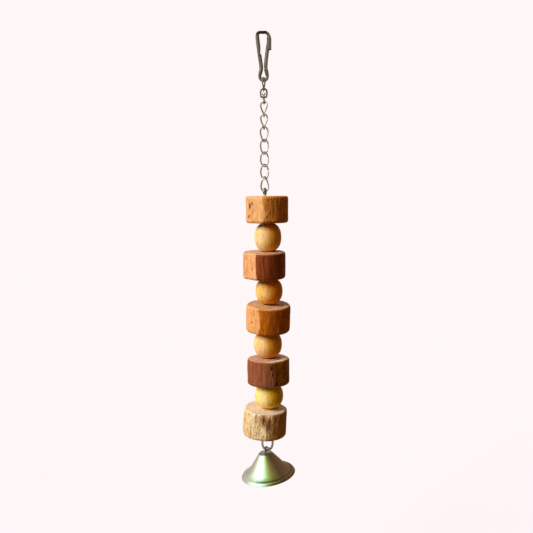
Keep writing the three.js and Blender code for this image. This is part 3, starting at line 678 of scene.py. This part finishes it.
def make_swivel():
    bm = bmesh.new()
    middle = (top_link_high + top_link_low) / 2
    bent(bm, oval(TOP_LINK_LENGTH, TOP_LINK_WIDTH, *TOP_LINK_TURNS, middle), TOP_LINK_WIRE / 2, closed=True)
    painted(bm, inner_side(top_link_high, top_link_low))
    finished("top_link", bm, yoke_metal, "top_link")

    bm = bmesh.new()
    middle = (yoke_high + yoke_low) / 2
    foot_half = SWIVEL_HEAD / 2 + GAP + YOKE_STRIP / 2
    line = []
    for step in range(YOKE_STEPS):
        angle = 2 * math.pi * step / YOKE_STEPS
        out_power, up_power = (0.7, 0.75) if math.sin(angle) > 0 else (0.4, 0.5)
        up = yoke_height / 2 * signed(math.sin(angle), up_power)
        half = foot_half + YOKE_SHOULDER * ease(up / yoke_height, -0.5, 0.2)
        line.append(Vector((half * signed(math.cos(angle), out_power), 0, middle + up)))
    bent(bm, line, YOKE_STRIP / 2, closed=True)
    foot_depth = SWIVEL_PIN + 2 * (GAP + YOKE_EDGE)
    for point in bm.verts:
        rise = ease((point.co.z - middle) / yoke_height, -0.42, -0.15)
        point.co.y *= mix(foot_depth, YOKE_DEPTH, rise) / YOKE_STRIP
    painted(bm, inner_side(yoke_high, yoke_low))
    yoke = finished("swivel_yoke", bm, yoke_metal, "swivel_yoke")
    carved(yoke, drill(SWIVEL_PIN / 2 + GAP, yoke_low - YOKE_STRIP, yoke_low + YOKE_STRIP))
    touched_up(yoke, inner_side(yoke_high, yoke_low))

    bm = bmesh.new()
    foot = yoke_low + YOKE_STRIP / 2 + TURNING_GAP
    head = SWIVEL_HEAD / 2
    profile = [(0, foot), (0.5 * head, foot), (0.66 * head, foot + 0.04), (0.84 * head, foot + 0.5),
               (0.96 * head, foot + 0.6 * SWIVEL_HEAD_HEIGHT), (head, foot + 0.8 * SWIVEL_HEAD_HEIGHT),
               (0.93 * head, foot + 0.92 * SWIVEL_HEAD_HEIGHT), (0.7 * head, foot + SWIVEL_HEAD_HEIGHT),
               (0, foot + SWIVEL_HEAD_HEIGHT)]
    spun(bm, profile, HEAD_STEPS, closed=False)
    rod(bm, SWIVEL_PIN / 2, swivel_eye_high, foot + 0.2)
    bent(bm, eye_line(SWIVEL_EYE_RADIUS, SWIVEL_EYE_TURN, swivel_eye_high), SWIVEL_EYE_WIRE / 2, closed=True)

    # Painted shade on the eye's right side, away from the lamp
    def pin_painted_shade(co, facing):
        return 0.7 * ease(facing.x, -0.2, 1.0) * ease(swivel_eye_high - co.z, -2, 0)

    painted(bm, pin_painted_shade)
    finished("swivel_eye", bm, pin_metal, "swivel_eye")


def make_chain():
    for place, turn in enumerate(LINK_TURNS):
        bm = bmesh.new()
        middle = link_high[place] - LINK_LENGTH / 2
        line = oval(LINK_LENGTH, LINK_WIDTH, turn + LINK_TWIST / 2, turn - LINK_TWIST / 2, middle)
        bent(bm, line, LINK_WIRE / 2, closed=True)
        painted(bm, inner_side(link_high[place], link_high[place] - LINK_LENGTH))
        name = f"chain_link_{place + 1}"
        finished(name, bm, chain_metal, name)


def make_core_wire():
    """One wire bent to a long eye below and a round eye above, its cut ends tucked against the stem."""
    bm = bmesh.new()
    middle = (lower_eye_high + lower_eye_low) / 2
    whole_eye = oval(LOWER_EYE_LENGTH, 2 * LOWER_EYE_HALF_WIDTH, 0, 0, middle,
                     LOWER_EYE_STEPS, LOWER_EYE_SQUARENESS)
    top = LOWER_EYE_STEPS // 4
    lower = list(reversed(whole_eye[top + 1:] + whole_eye[:top - 1]))
    upper = eye_line(UPPER_EYE_RADIUS, UPPER_EYE_TURN, upper_eye_high, steps=20, start=30, sweep=305)
    levels = (lower_eye_high + 0.9, lower_eye_high + 2.5, BEADS[1]["middle"],
              upper_eye_low - 2.5, upper_eye_low - 1.0)
    stem = [Vector((0, 0, level)) for level in levels]
    bent(bm, smooth_line([*lower, *stem, *upper], 3), CORE_WIRE / 2)
    dark_above = inner_side(upper_eye_high, upper_eye_low)
    dark_below = inner_side(lower_eye_high, lower_eye_low)

    # Painted shade on the inner sides of both eyes
    def eye_painted_shade(co, facing):
        return 0.8 * (dark_above if co.z > upper_eye_low else dark_below)(co, facing)

    painted(bm, eye_painted_shade)
    finished("core_wire", bm, core_metal, "core")


# Wooden pieces

def outline_radius(block, bearing):
    """Radius of a slice's outline: slightly oval and lumpy, cut flat where bark came away."""
    radius = block["diameter"] / 2
    phase = math.radians(block["peels"][0][0])
    lumps = 0.012 * math.cos(2 * bearing + phase) + 0.007 * math.cos(5 * bearing - phase)
    out = radius * (1 + lumps - 0.01)
    for peel, depth in block["peels"]:
        facing = math.cos(bearing - math.radians(peel))
        if facing > 0.5:
            out = min(out, (radius - depth) / facing)
    return out


def inside_span(bearing, span, wander):
    """How much a bearing lies inside a span of bearings, with a border that wanders."""
    low, high = span
    middle = (low + high) / 2
    away = abs((bearing - middle + 180) % 360 - 180)
    return 1 - ease(away + wander, (high - low) / 2 - 1.2, (high - low) / 2 + 1.2)


def scarred(block, bearing, level, stray):
    """Knots and torn patches: 1 in the middle of a scar, drawn out along the branch."""
    deepest = 0.0
    for middle, height, size in block["scars"]:
        across = (bearing - middle + 180) % 360 - 180
        away = math.hypot(math.radians(across) * block["diameter"] / 2, (level - height) * 0.6)
        deepest = max(deepest, 1 - ease(away / size + 0.5 * stray, 0.35, 1.15))
    return deepest


def bark_relief(block, number, bearing, level):
    """Depth below the outline in millimetres, how much bark is left and how scarred it is."""
    seed = 17.3 * number
    around = Vector((math.cos(bearing), math.sin(bearing), 0)) * block["diameter"] / 2
    coarse = noise.noise(around * 0.28 + Vector((seed, 0, level * 0.05)))
    fibres = noise.noise(around * 0.9 + Vector((0, seed, level * 0.10)))
    fine = noise.noise(around * 2.2 + Vector((0, 0, level * 0.35 + seed)))
    wander = block["wander"] * noise.noise(Vector((seed, bearing * 0.6, level * 0.16))) + 1.5 * fine
    kept = inside_span(math.degrees(bearing), block["bark"], wander)
    scar = scarred(block, math.degrees(bearing), level, fibres)
    knife = abs(math.sin(bearing * 4.5 + 1.3 * coarse + seed))
    bare = 0.20 + 0.10 * coarse + 0.16 * knife + 0.10 * fibres + 0.05 * fine
    barked = block["rough"] * (0.42 + 0.34 * coarse + 0.55 * fibres + 0.22 * fine)
    return max(mix(bare, max(barked, 0.0), kept), 0.0) + 0.35 * scar, kept, scar


def make_block(number, block, finish):
    bm = bmesh.new()
    radius, half = block["diameter"] / 2, block["thickness"] / 2
    inner = radius - RIM_ROUND
    face = [mix(BORE / 2, inner, step / 12) for step in range(12)]
    arc = [math.radians(90 * step / 7) for step in range(8)]
    lower = [(inner + RIM_ROUND * math.sin(a), -half + RIM_ROUND * (1 - math.cos(a))) for a in arc]
    wall = [(radius, mix(-half + RIM_ROUND, half - RIM_ROUND, step / 44)) for step in range(1, 44)]
    upper = [(out, -level) for out, level in reversed(lower)]
    bore = [(BORE / 2, mix(half, -half, step / 6)) for step in range(7)]
    profile = [(out, -half) for out in face[1:]] + lower + wall + upper
    profile += [(out, half) for out in reversed(face[1:])] + bore
    spun(bm, profile, BLOCK_STEPS)
    layers = [bm.verts.layers.float.new(name) for name in MARKS]
    loose = bore_shift(block["shift"], block["thickness"], tip_of(block))
    shift = Vector(block["shift"])
    for point in bm.verts:
        out = math.hypot(point.co.x, point.co.y)
        bearing = math.atan2(point.co.y, point.co.x)
        part = min(max((out - BORE / 2) / (radius - BORE / 2), 0.0), 1.0)
        side = ease(out, inner + 0.15 * RIM_ROUND, radius)
        deep, kept, scar = bark_relief(block, number, bearing, point.co.z)
        reach = mix(BORE / 2, outline_radius(block, bearing), part) - deep * side
        sawn = 1 - ease(out, inner + 0.35 * RIM_ROUND, inner + 0.75 * RIM_ROUND)
        # Rim of the sawn ends, which the finish lightens: part wear, part painted highlight
        worn = ease(out, inner - 0.2, inner + 0.4 * RIM_ROUND) * ease(abs(point.co.z), half - 1.0, half - 0.3)
        centre = loose.lerp(shift, part)
        point.co.x = centre.x + reach * math.cos(bearing)
        point.co.y = centre.y + reach * math.sin(bearing)
        sap = ease(math.hypot(point.co.x - block["heart"][0], point.co.y - block["heart"][1]),
                   block["heart"][2] - 0.5, block["heart"][2] + 0.5)
        for layer, value in zip(layers, (kept, scar, deep, sawn, worn, sap)):
            point[layer] = value
    nod = Matrix.Rotation(math.radians(block["nod"]), 4, "X")
    lean = Matrix.Rotation(math.radians(block["lean"]), 4, "Y")
    place = Matrix.Translation((0, 0, block["middle"])) @ (nod @ lean)
    name = f"block_{number}"
    finished(name, bm, finish, name, place, BRANCH_SHARP)


def branch_finish(number, block, wood, bark, sawn):
    """Peeled wood, bark and sawn end grain of one slice. Wood and bark are pale, dark and darkest tones."""
    finish = Finish(f"branch_{number}", Specular_IOR_Level=0.04)
    centre = (block["shift"][0], block["shift"][1] + 60 * number, block["middle"])
    grain = finish.cloud(finish.place(centre, (1.0, 1.0, 7.0)), 1.0, 5.0, 0.65, 0.3)
    mottle = finish.cloud(finish.place(centre, (1, 1, 1.7)), 0.3, 4.0, 0.6)
    pits = finish.cloud(finish.place(centre, (0.95, 0.95, 1.5)), 1.0, 4.0, 0.7)
    fibres = finish.cloud(finish.place(centre, (0.3, 0.3, 2.2)), 1.0, 3.0, 0.6)
    kept, scar, deep, cut, worn, sap = (finish.mark(name) for name in MARKS)

    streaks = finish.between(grain, 0.41, 0.59) * 0.65 + finish.between(mottle, 0.38, 0.62) * 0.5
    bare = finish.blend(streaks, wood[0], wood[1])
    bare = finish.blend(finish.between(pits, 0.56, 0.66) * 0.6, bare, wood[2])
    furrows = finish.between(grain, 0.42, 0.62) * 0.5 + finish.between(deep, 0.35, 0.85) * 0.5
    rind = finish.blend(furrows, bark[0], bark[1])
    rind = finish.blend(finish.between(pits, 0.55, 0.65) * 0.65, rind, bark[2])
    side = finish.blend(kept, bare, rind)
    side = finish.blend(scar * finish.between(fibres, 0.35, 0.6, 0.55, 1.0), side, bark[2])
    side = finish.blend(finish.between(fibres, 0.55, 0.7) * 0.25, side, bark[2])

    level = finish.place(centre[:1] + (block["shift"][1], centre[2]), (1, 1, 50))
    from_pith = finish.node("ShaderNodeVectorMath", {"operation": "LENGTH"}, {0: level}, output=1)
    waver = finish.cloud(finish.place(centre, (3, 3, 50)), 1.0, 3.0, 0.6)
    wave = from_pith * 3.6 + waver * 9.0
    rings = wave.maths("SINE", wave) * 0.5 + 0.5
    blotch = finish.cloud(level, 0.16, 4.0, 0.6)
    end_grain = finish.blend(finish.between(blotch, 0.35, 0.65) * 0.55 + rings * 0.35, sawn[0], sawn[1])
    end_grain = finish.blend(sap * 0.9, end_grain, sawn[2])
    end_grain = finish.blend(finish.between(pits, 0.58, 0.7) * 0.3, end_grain, wood[2])
    colour = finish.blend(cut, side, end_grain)
    # Painted highlight and wear: the rims of the sawn ends lighten to the palest end-grain tone, most in the
    # sapwood
    edge = worn * (sap * 0.8 + 0.2) * finish.between(pits, 0.4, 0.6, 0.9, 0.35)
    finish.feed("Base Color", finish.blend(edge, colour, sawn[2]))
    finish.feed("Roughness", finish.between(grain, 0.3, 0.7, 0.55, 0.8))
    relief = grain + pits * 0.7 + fibres * 0.5 + rings * cut * 0.25
    finish.bump(relief, 0.3 + 0.3 * (block["rough"] - 0.35))
    return finish


def make_beads():
    # Each bead's pale, middle and dark tones, then the deeper orange painted on its right side as shade
    looks = (
        (tone(255, 236, 190), tone(246, 196, 112), tone(190, 112, 30), tone(255, 180, 34)),
        (tone(255, 222, 146), tone(250, 178, 64), tone(172, 88, 4), tone(255, 156, 4)),
        (tone(255, 222, 162), tone(248, 184, 88), tone(178, 98, 10), tone(255, 166, 14)),
        (tone(255, 236, 166), tone(255, 216, 96), tone(214, 142, 12), tone(255, 200, 10)),
    )
    for number, (bead, look) in enumerate(zip(BEADS, looks), 1):
        finish = bead_finish(number, bead, *look)
        bm = bmesh.new()
        power = 2 / BEAD_SQUARENESS
        seat = math.acos((BEAD_SEAT / bead["diameter"]) ** (1 / power))
        half = bead["height"] / 2
        tall = half / math.sin(seat) ** power
        arc = [mix(-seat, seat, step / 48) for step in range(49)]
        radius = bead["diameter"] / 2
        shell = [(radius * math.cos(a) ** power, tall * signed(math.sin(a), power)) for a in arc]
        bore = [(BORE / 2 + BEAD_CHAMFER, half), (BORE / 2, half - BEAD_CHAMFER),
                (BORE / 2, -half + BEAD_CHAMFER), (BORE / 2 + BEAD_CHAMFER, -half)]
        spun(bm, [*shell, *bore], BEAD_STEPS)
        loose = bore_shift(bead["shift"], bead["height"], 0.0)
        shift = Vector(bead["shift"])
        for point in bm.verts:
            out = math.hypot(point.co.x, point.co.y)
            centre = loose.lerp(shift, ease(out, BORE / 2, BEAD_SEAT / 2))
            point.co.x += centre.x
            point.co.y += centre.y
        name = f"bead_{number}"
        place = Matrix.Translation((0, 0, bead["middle"]))
        finished(name, bm, finish, name, place, TURNED_SHARP)


def bead_finish(number, bead, pale, middle_tone, dark, heart):
    """Turned softwood with painted shade that deepens its colour towards its right side, its grain along the
    wire, waxed to a satin.
    """
    finish = Finish(f"bead_wood_{number}", Specular_IOR_Level=0.04)
    centre = (bead["shift"][0], bead["shift"][1], bead["middle"] + 40 * number)
    bands = finish.cloud(finish.place(centre, (1.6, 1.6, 14.0)), 0.8, 3.0, 0.5, 0.3)
    streaks = finish.cloud(finish.place(centre, (0.7, 0.7, 5.0)), 1.0, 4.0, 0.6, 0.2)
    clouds = finish.cloud(finish.place(centre, (1, 1, 1.5)), 0.14, 3.0, 0.5)
    body = finish.between(bands, 0.35, 0.65) * 0.45 + finish.between(clouds, 0.3, 0.7) * 0.4
    across = finish.node("ShaderNodeSeparateXYZ", {}, {0: finish.place(centre)})
    colour = finish.blend(body, pale, middle_tone)
    # Painted shade: the colour deepens to the heart tone towards the bead's right side, away from the lamp
    colour = finish.blend(finish.between(across + bands * 3.0, -3.5, 4.5) * 0.92, colour, heart)
    colour = finish.blend(finish.between(streaks, 0.51, 0.68) * 0.55, colour, dark)
    finish.feed("Base Color", colour)
    finish.feed("Roughness", finish.between(streaks, 0.3, 0.7, 0.4, 0.58))
    finish.bump(streaks * 0.6 + bands * 0.4, 0.1)
    return finish


def make_blocks():
    looks = (
        ((tone(255, 202, 142), tone(236, 162, 98), tone(140, 72, 22)),
         (tone(230, 146, 64), tone(176, 94, 26), tone(84, 38, 6)),
         (tone(228, 168, 112), tone(198, 130, 78), tone(246, 196, 140))),
        ((tone(254, 194, 140), tone(234, 156, 96), tone(150, 78, 30)),
         (tone(164, 84, 42), tone(112, 46, 14), tone(62, 22, 2)),
         (tone(218, 174, 140), tone(184, 132, 98), tone(214, 160, 122))),
        ((tone(255, 196, 132), tone(232, 158, 90), tone(146, 74, 20)),
         (tone(208, 115, 27), tone(154, 76, 8), tone(80, 34, 0)),
         (tone(214, 170, 122), tone(176, 124, 78), tone(246, 200, 150))),
        ((tone(190, 116, 30), tone(136, 78, 10), tone(66, 32, 2)),
         (tone(162, 96, 64), tone(112, 54, 26), tone(56, 20, 4)),
         (tone(216, 168, 132), tone(174, 120, 88), tone(250, 218, 176))),
        ((tone(240, 184, 112), tone(190, 134, 68), tone(100, 54, 12)),
         (tone(255, 232, 184), tone(214, 150, 78), tone(104, 46, 2)),
         (tone(246, 222, 190), tone(228, 198, 160), tone(254, 234, 204))),
    )
    for number, (block, look) in enumerate(zip(BLOCKS, looks), 1):
        make_block(number, block, branch_finish(number, block, *look))


# Bell

def zinc_finish():
    """Yellow-green passivated zinc with painted light: a pale painted highlight left of the front, painted
    shade to brown on the right and dark painted lines at the lip, with faint lines from spinning.
    """
    finish = Finish("bell_zinc", Metallic=1.0, Specular_Tint=(0.75, 0.72, 0.62, 1.0))
    crown_middle = bell_place @ Vector((-HANGER_OFFSET, 0, crown_height))
    turned = finish.node("ShaderNodeVectorRotate", {"rotation_type": "Y_AXIS"}, {
        "Vector": finish.place(crown_middle), "Angle": math.radians(BELL_TILT),
    })
    parts = finish.node("ShaderNodeSeparateXYZ", {}, {0: turned})
    flat = finish.node("ShaderNodeVectorMath", {"operation": "MULTIPLY"}, {0: turned, 1: (1, 1, 0)})
    out = finish.node("ShaderNodeVectorMath", {"operation": "LENGTH"}, {0: flat}, output=1)
    drift = finish.cloud(finish.place(crown_middle, (1, 1, 3.0)), 0.12, 3.0, 0.5)
    light_to_shade = parts.maths("DIVIDE", parts, out) * 0.5 + 0.5 + (drift - 0.5) * 0.22
    # Colour by place across the bell from its left edge to its right: a pale painted highlight a little left
    # of the front, then painted shade that darkens through olive to brown
    colour = finish.ramp(
        light_to_shade,
        (0.0, tone(162, 160, 146)),
        (0.12, tone(174, 186, 166)),
        (0.26, tone(172, 206, 184)),
        (0.38, tone(140, 172, 134)),
        (0.5, tone(130, 146, 80)),
        (0.62, tone(114, 106, 54)),
        (0.78, tone(88, 66, 40)),
        (1.0, tone(104, 76, 56)),
    )
    spinning = finish.cloud(finish.place(crown_middle, (14, 14, 0.12)), 1.0, 2.0, 0.5)
    haze = finish.cloud(finish.place(crown_middle), 0.5, 4.0, 0.6)
    # Painted shade: the darker lines at the lip, painted on the points
    shaded_lines = finish.mark("tarnish")
    colour = finish.blend(finish.between(haze, 0.45, 0.8) * 0.15, colour, tone(120, 112, 92))
    finish.feed("Base Color", finish.blend(shaded_lines * 0.85, colour, tone(58, 52, 18)))
    finish.feed("Roughness", finish.between(haze, 0.3, 0.7, 0.5, 0.58))
    finish.bump(spinning, 0.006)
    return finish


def bell_profile():
    crown = CROWN_DIAMETER / 2
    flare = [
        Vector((WAIST_DIAMETER / 2, -WAIST_DROP, 0)),
        Vector((mix(WAIST_DIAMETER, RIM_DIAMETER, 0.42) / 2, -mix(WAIST_DROP, BELL_HEIGHT, 0.38), 0)),
        Vector((mix(WAIST_DIAMETER, RIM_DIAMETER, 0.86) / 2, -mix(WAIST_DROP, BELL_HEIGHT, 0.66), 0)),
        Vector((RIM_DIAMETER / 2, -BELL_HEIGHT, 0)),
    ]
    outer = [Vector((0, 0, 0)), Vector((0.5 * crown, 0, 0)), Vector((crown - CROWN_ROUND, 0, 0)),
             Vector((crown - 0.5 * CROWN_ROUND, -0.12 * CROWN_ROUND, 0)),
             Vector((crown - 0.2 * CROWN_ROUND, -0.4 * CROWN_ROUND, 0)),
             Vector((crown + 0.3 * CROWN_ROUND, -1.1 * CROWN_ROUND, 0)),
             Vector((mix(crown, WAIST_DIAMETER / 2, 0.52), -0.55 * WAIST_DROP, 0))]
    return outer[:5] + smooth_line([*outer[5:], *flare], 8)


def bell_painted_shade(co, facing):
    """Painted shade: a darker line in the hollow where the wall turns out into the lip, but not at the far
    left, and along the edge of the right half.
    """
    out = math.hypot(co.x, co.y)
    part = (out - WAIST_DIAMETER / 2) / (RIM_DIAMETER - WAIST_DIAMETER) * 2
    hollow_shade = ease(part, 0.4, 0.52) * (1 - ease(part, 0.58, 0.72)) * ease(co.x / RIM_DIAMETER, -0.3, -0.1)
    edge = ease(part, 0.84, 0.94) * ease(co.x / RIM_DIAMETER, -0.08, 0.06)
    return max(hollow_shade, edge) * ease(facing.z, -0.2, 0.1)


def make_bell(finish):
    bm = bmesh.new()
    outer = bell_profile()
    inner = []
    for place, point in enumerate(outer):
        along = (outer[min(place + 1, len(outer) - 1)] - outer[max(place - 1, 0)]).normalized()
        inner.append((max(point.x + along.y * BELL_WALL, 0.0), point.y - along.x * BELL_WALL))
    rim = (RIM_DIAMETER / 2 - BELL_WALL, -BELL_HEIGHT)
    lip = (RIM_DIAMETER / 2 - 0.2 * BELL_WALL, -BELL_HEIGHT)
    inside = [*inner[1:-1], rim]
    profile = [(point.x, point.y) for point in outer[:-1]] + [(outer[-1].x, outer[-1].y + 0.15), lip]
    spun(bm, [*profile, *reversed(inside), (0, -BELL_WALL)], BELL_STEPS, closed=False)
    painted(bm, bell_painted_shade)
    bmesh.ops.translate(bm, vec=(-HANGER_OFFSET, 0, crown_height), verts=bm.verts)
    bell = finished("bell", bm, finish, "bell", bell_place, TURNED_SHARP)
    turn = bell_place @ Matrix.Rotation(math.radians(HANGER_TURN), 4, "Z")
    under, over = crown_height - 2 * BELL_WALL, crown_height + BELL_WALL
    for side in (-1, 1):
        place = turn @ Matrix.Translation((side * HANGER_WIDTH / 2, 0, 0))
        carved(bell, drill(HANGER_WIRE / 2 + GAP, under, over, place))
    crown_metal = drawn_metal("crown_zinc", tone(132, 126, 114), tone(104, 97, 86), tone(70, 62, 52), 0.5)
    bell.data.materials.append(crown_metal.material)
    up = bell_place.to_3x3() @ Vector((0, 0, 1))
    middle = bell_place @ Vector((-HANGER_OFFSET, 0, crown_height))
    for face in bell.data.polygons:
        from_crown = face.center / MM - middle
        height = from_crown.dot(up)
        out = (from_crown - up * height).length
        if out < CROWN_DIAMETER / 2 - 0.25 * CROWN_ROUND and height > -0.6:
            face.material_index = 1


def make_bell_fittings():
    bm = bmesh.new()
    line = []
    for step in range(HANGER_STEPS):
        angle = 2 * math.pi * step / HANGER_STEPS
        out = HANGER_WIDTH / 2 * signed(math.cos(angle), 0.42)
        up = (arch_high - bar_height) / 2 * signed(math.sin(angle), 0.5)
        line.append(Vector((out, 0, up + (arch_high + bar_height) / 2)))
    bent(bm, line, HANGER_WIRE / 2, closed=True)
    turn = Matrix.Rotation(math.radians(HANGER_TURN), 4, "Z")
    finished("bell_hanger", bm, hanger_metal, "bell", bell_place @ turn)

    eye_high = bar_height + HANGER_WIRE / 2 + GAP + CLAPPER_WIRE / 2
    ball_height = bar_height - CLAPPER_BALL_DROP
    low = ball_height - CLAPPER_BALL / 2 - GAP
    bm = bmesh.new()
    bent(bm, eye_line(CLAPPER_EYE_RADIUS, HANGER_TURN + 90, eye_high), CLAPPER_WIRE / 2, closed=True)
    rod(bm, CLAPPER_WIRE / 2, low, eye_high - 2 * CLAPPER_EYE_RADIUS)
    rod(bm, 0.9 * CLAPPER_WIRE, low - 0.6 * CLAPPER_WIRE, low)
    finished("clapper_rod", bm, hanger_metal, "clapper", bell_place)

    bm = bmesh.new()
    bore = CLAPPER_WIRE / 2 + GAP
    reach = math.pi / 2 - math.asin((bore + 0.2) / (CLAPPER_BALL / 2))
    arc = [mix(-reach, reach, step / 32) for step in range(33)]
    shell = [(CLAPPER_BALL / 2 * math.cos(a), CLAPPER_BALL / 2 * math.sin(a)) for a in arc]
    top = shell[-1][1]
    spun(bm, [(bore, -top), *shell, (bore, top)], BALL_STEPS)
    finished("clapper_ball", bm, hanger_metal, "clapper",
             bell_place @ Matrix.Translation((0, 0, ball_height)))


# Studio: pale floor and surroundings, a large soft key lamp from the left and a weaker one behind

def staged(name, low, high, finish):
    bm = brick(low, high)
    mesh = bpy.data.meshes.new(name)
    bm.to_mesh(mesh)
    bm.free()
    mesh.materials.append(finish.material)
    thing = bpy.data.objects.new(name, mesh)
    bpy.context.scene.collection.objects.link(thing)


def seen_directly(holder):
    """1 for rays that show the background: from the camera, a mirror or glass."""
    rays = holder.node("ShaderNodeLightPath")
    outputs = rays.socket.node.outputs
    glossy = Value(holder, outputs["Is Glossy Ray"])
    through = Value(holder, outputs["Is Transmission Ray"])
    return rays.maths("MINIMUM", rays + glossy + through, 1.0)


def make_studio():
    pale = tone(255, 247, 247)
    floor_finish = Finish("floor", Roughness=0.9, Specular_IOR_Level=0.0)
    floor_finish.feed("Emission Strength", 1.0)
    shine = seen_directly(floor_finish)
    floor_finish.feed("Emission Color", floor_finish.blend(shine * 0.8, (0, 0, 0, 1), pale))
    floor_finish.feed("Base Color", floor_finish.blend(shine, (0.1, 0.055, 0.02, 1), (0.2, 0.201, 0.22, 1)))
    staged("floor", (-FLOOR_HALF, -FLOOR_HALF, FLOOR_TOP - FLOOR_THICKNESS),
           (FLOOR_HALF, FLOOR_HALF, FLOOR_TOP), floor_finish)

    world = bpy.data.worlds.new("studio")
    bpy.context.scene.world = world
    sky = Sky(world)
    shine = seen_directly(sky)
    sky.feed("Color", sky.blend(shine, (0.125, 0.066, 0.014, 1), pale))

    # Bearings are from the camera's side, to the right
    for name, strength, spread, bearing, climb, colour in (
        ("key", 4.1, 38, -63, 36, (1.0, 0.99, 0.975)),
        ("back", 0.6, 24, 186, 34, (1.0, 0.92, 0.82)),
    ):
        light = bpy.data.lights.new(name, "SUN")
        light.energy = strength
        light.angle = math.radians(spread)
        light.color = colour
        lamp = bpy.data.objects.new(name, light)
        bearing, climb = math.radians(bearing), math.radians(climb)
        toward = Vector((math.sin(bearing), -math.cos(bearing), math.tan(climb)))
        lamp.rotation_mode = "QUATERNION"
        lamp.rotation_quaternion = toward.to_track_quat("Z", "Y")
        bpy.context.scene.collection.objects.link(lamp)

    view = bpy.data.cameras.new("camera")
    view.sensor_width = CAMERA_SENSOR
    view.lens = CAMERA_SENSOR * CAMERA_FOCAL / CAMERA_PICTURE
    view.clip_start = 0.01
    camera = bpy.data.objects.new("camera", view)
    camera.location = [part * MM for part in CAMERA_PLACE]
    aim = Matrix.Rotation(math.radians(90 - CAMERA_DIP), 4, "X")
    look = aim @ Matrix.Rotation(math.radians(CAMERA_ROLL), 4, "Z")
    camera.rotation_mode = "QUATERNION"
    camera.rotation_quaternion = look.to_quaternion()
    bpy.context.scene.collection.objects.link(camera)
    bpy.context.scene.camera = camera
    bpy.context.scene.view_settings.view_transform = "Standard"


make_clip()
make_swivel()
make_chain()
make_core_wire()
make_blocks()
make_beads()
make_bell(zinc_finish())
make_bell_fittings()
make_studio()
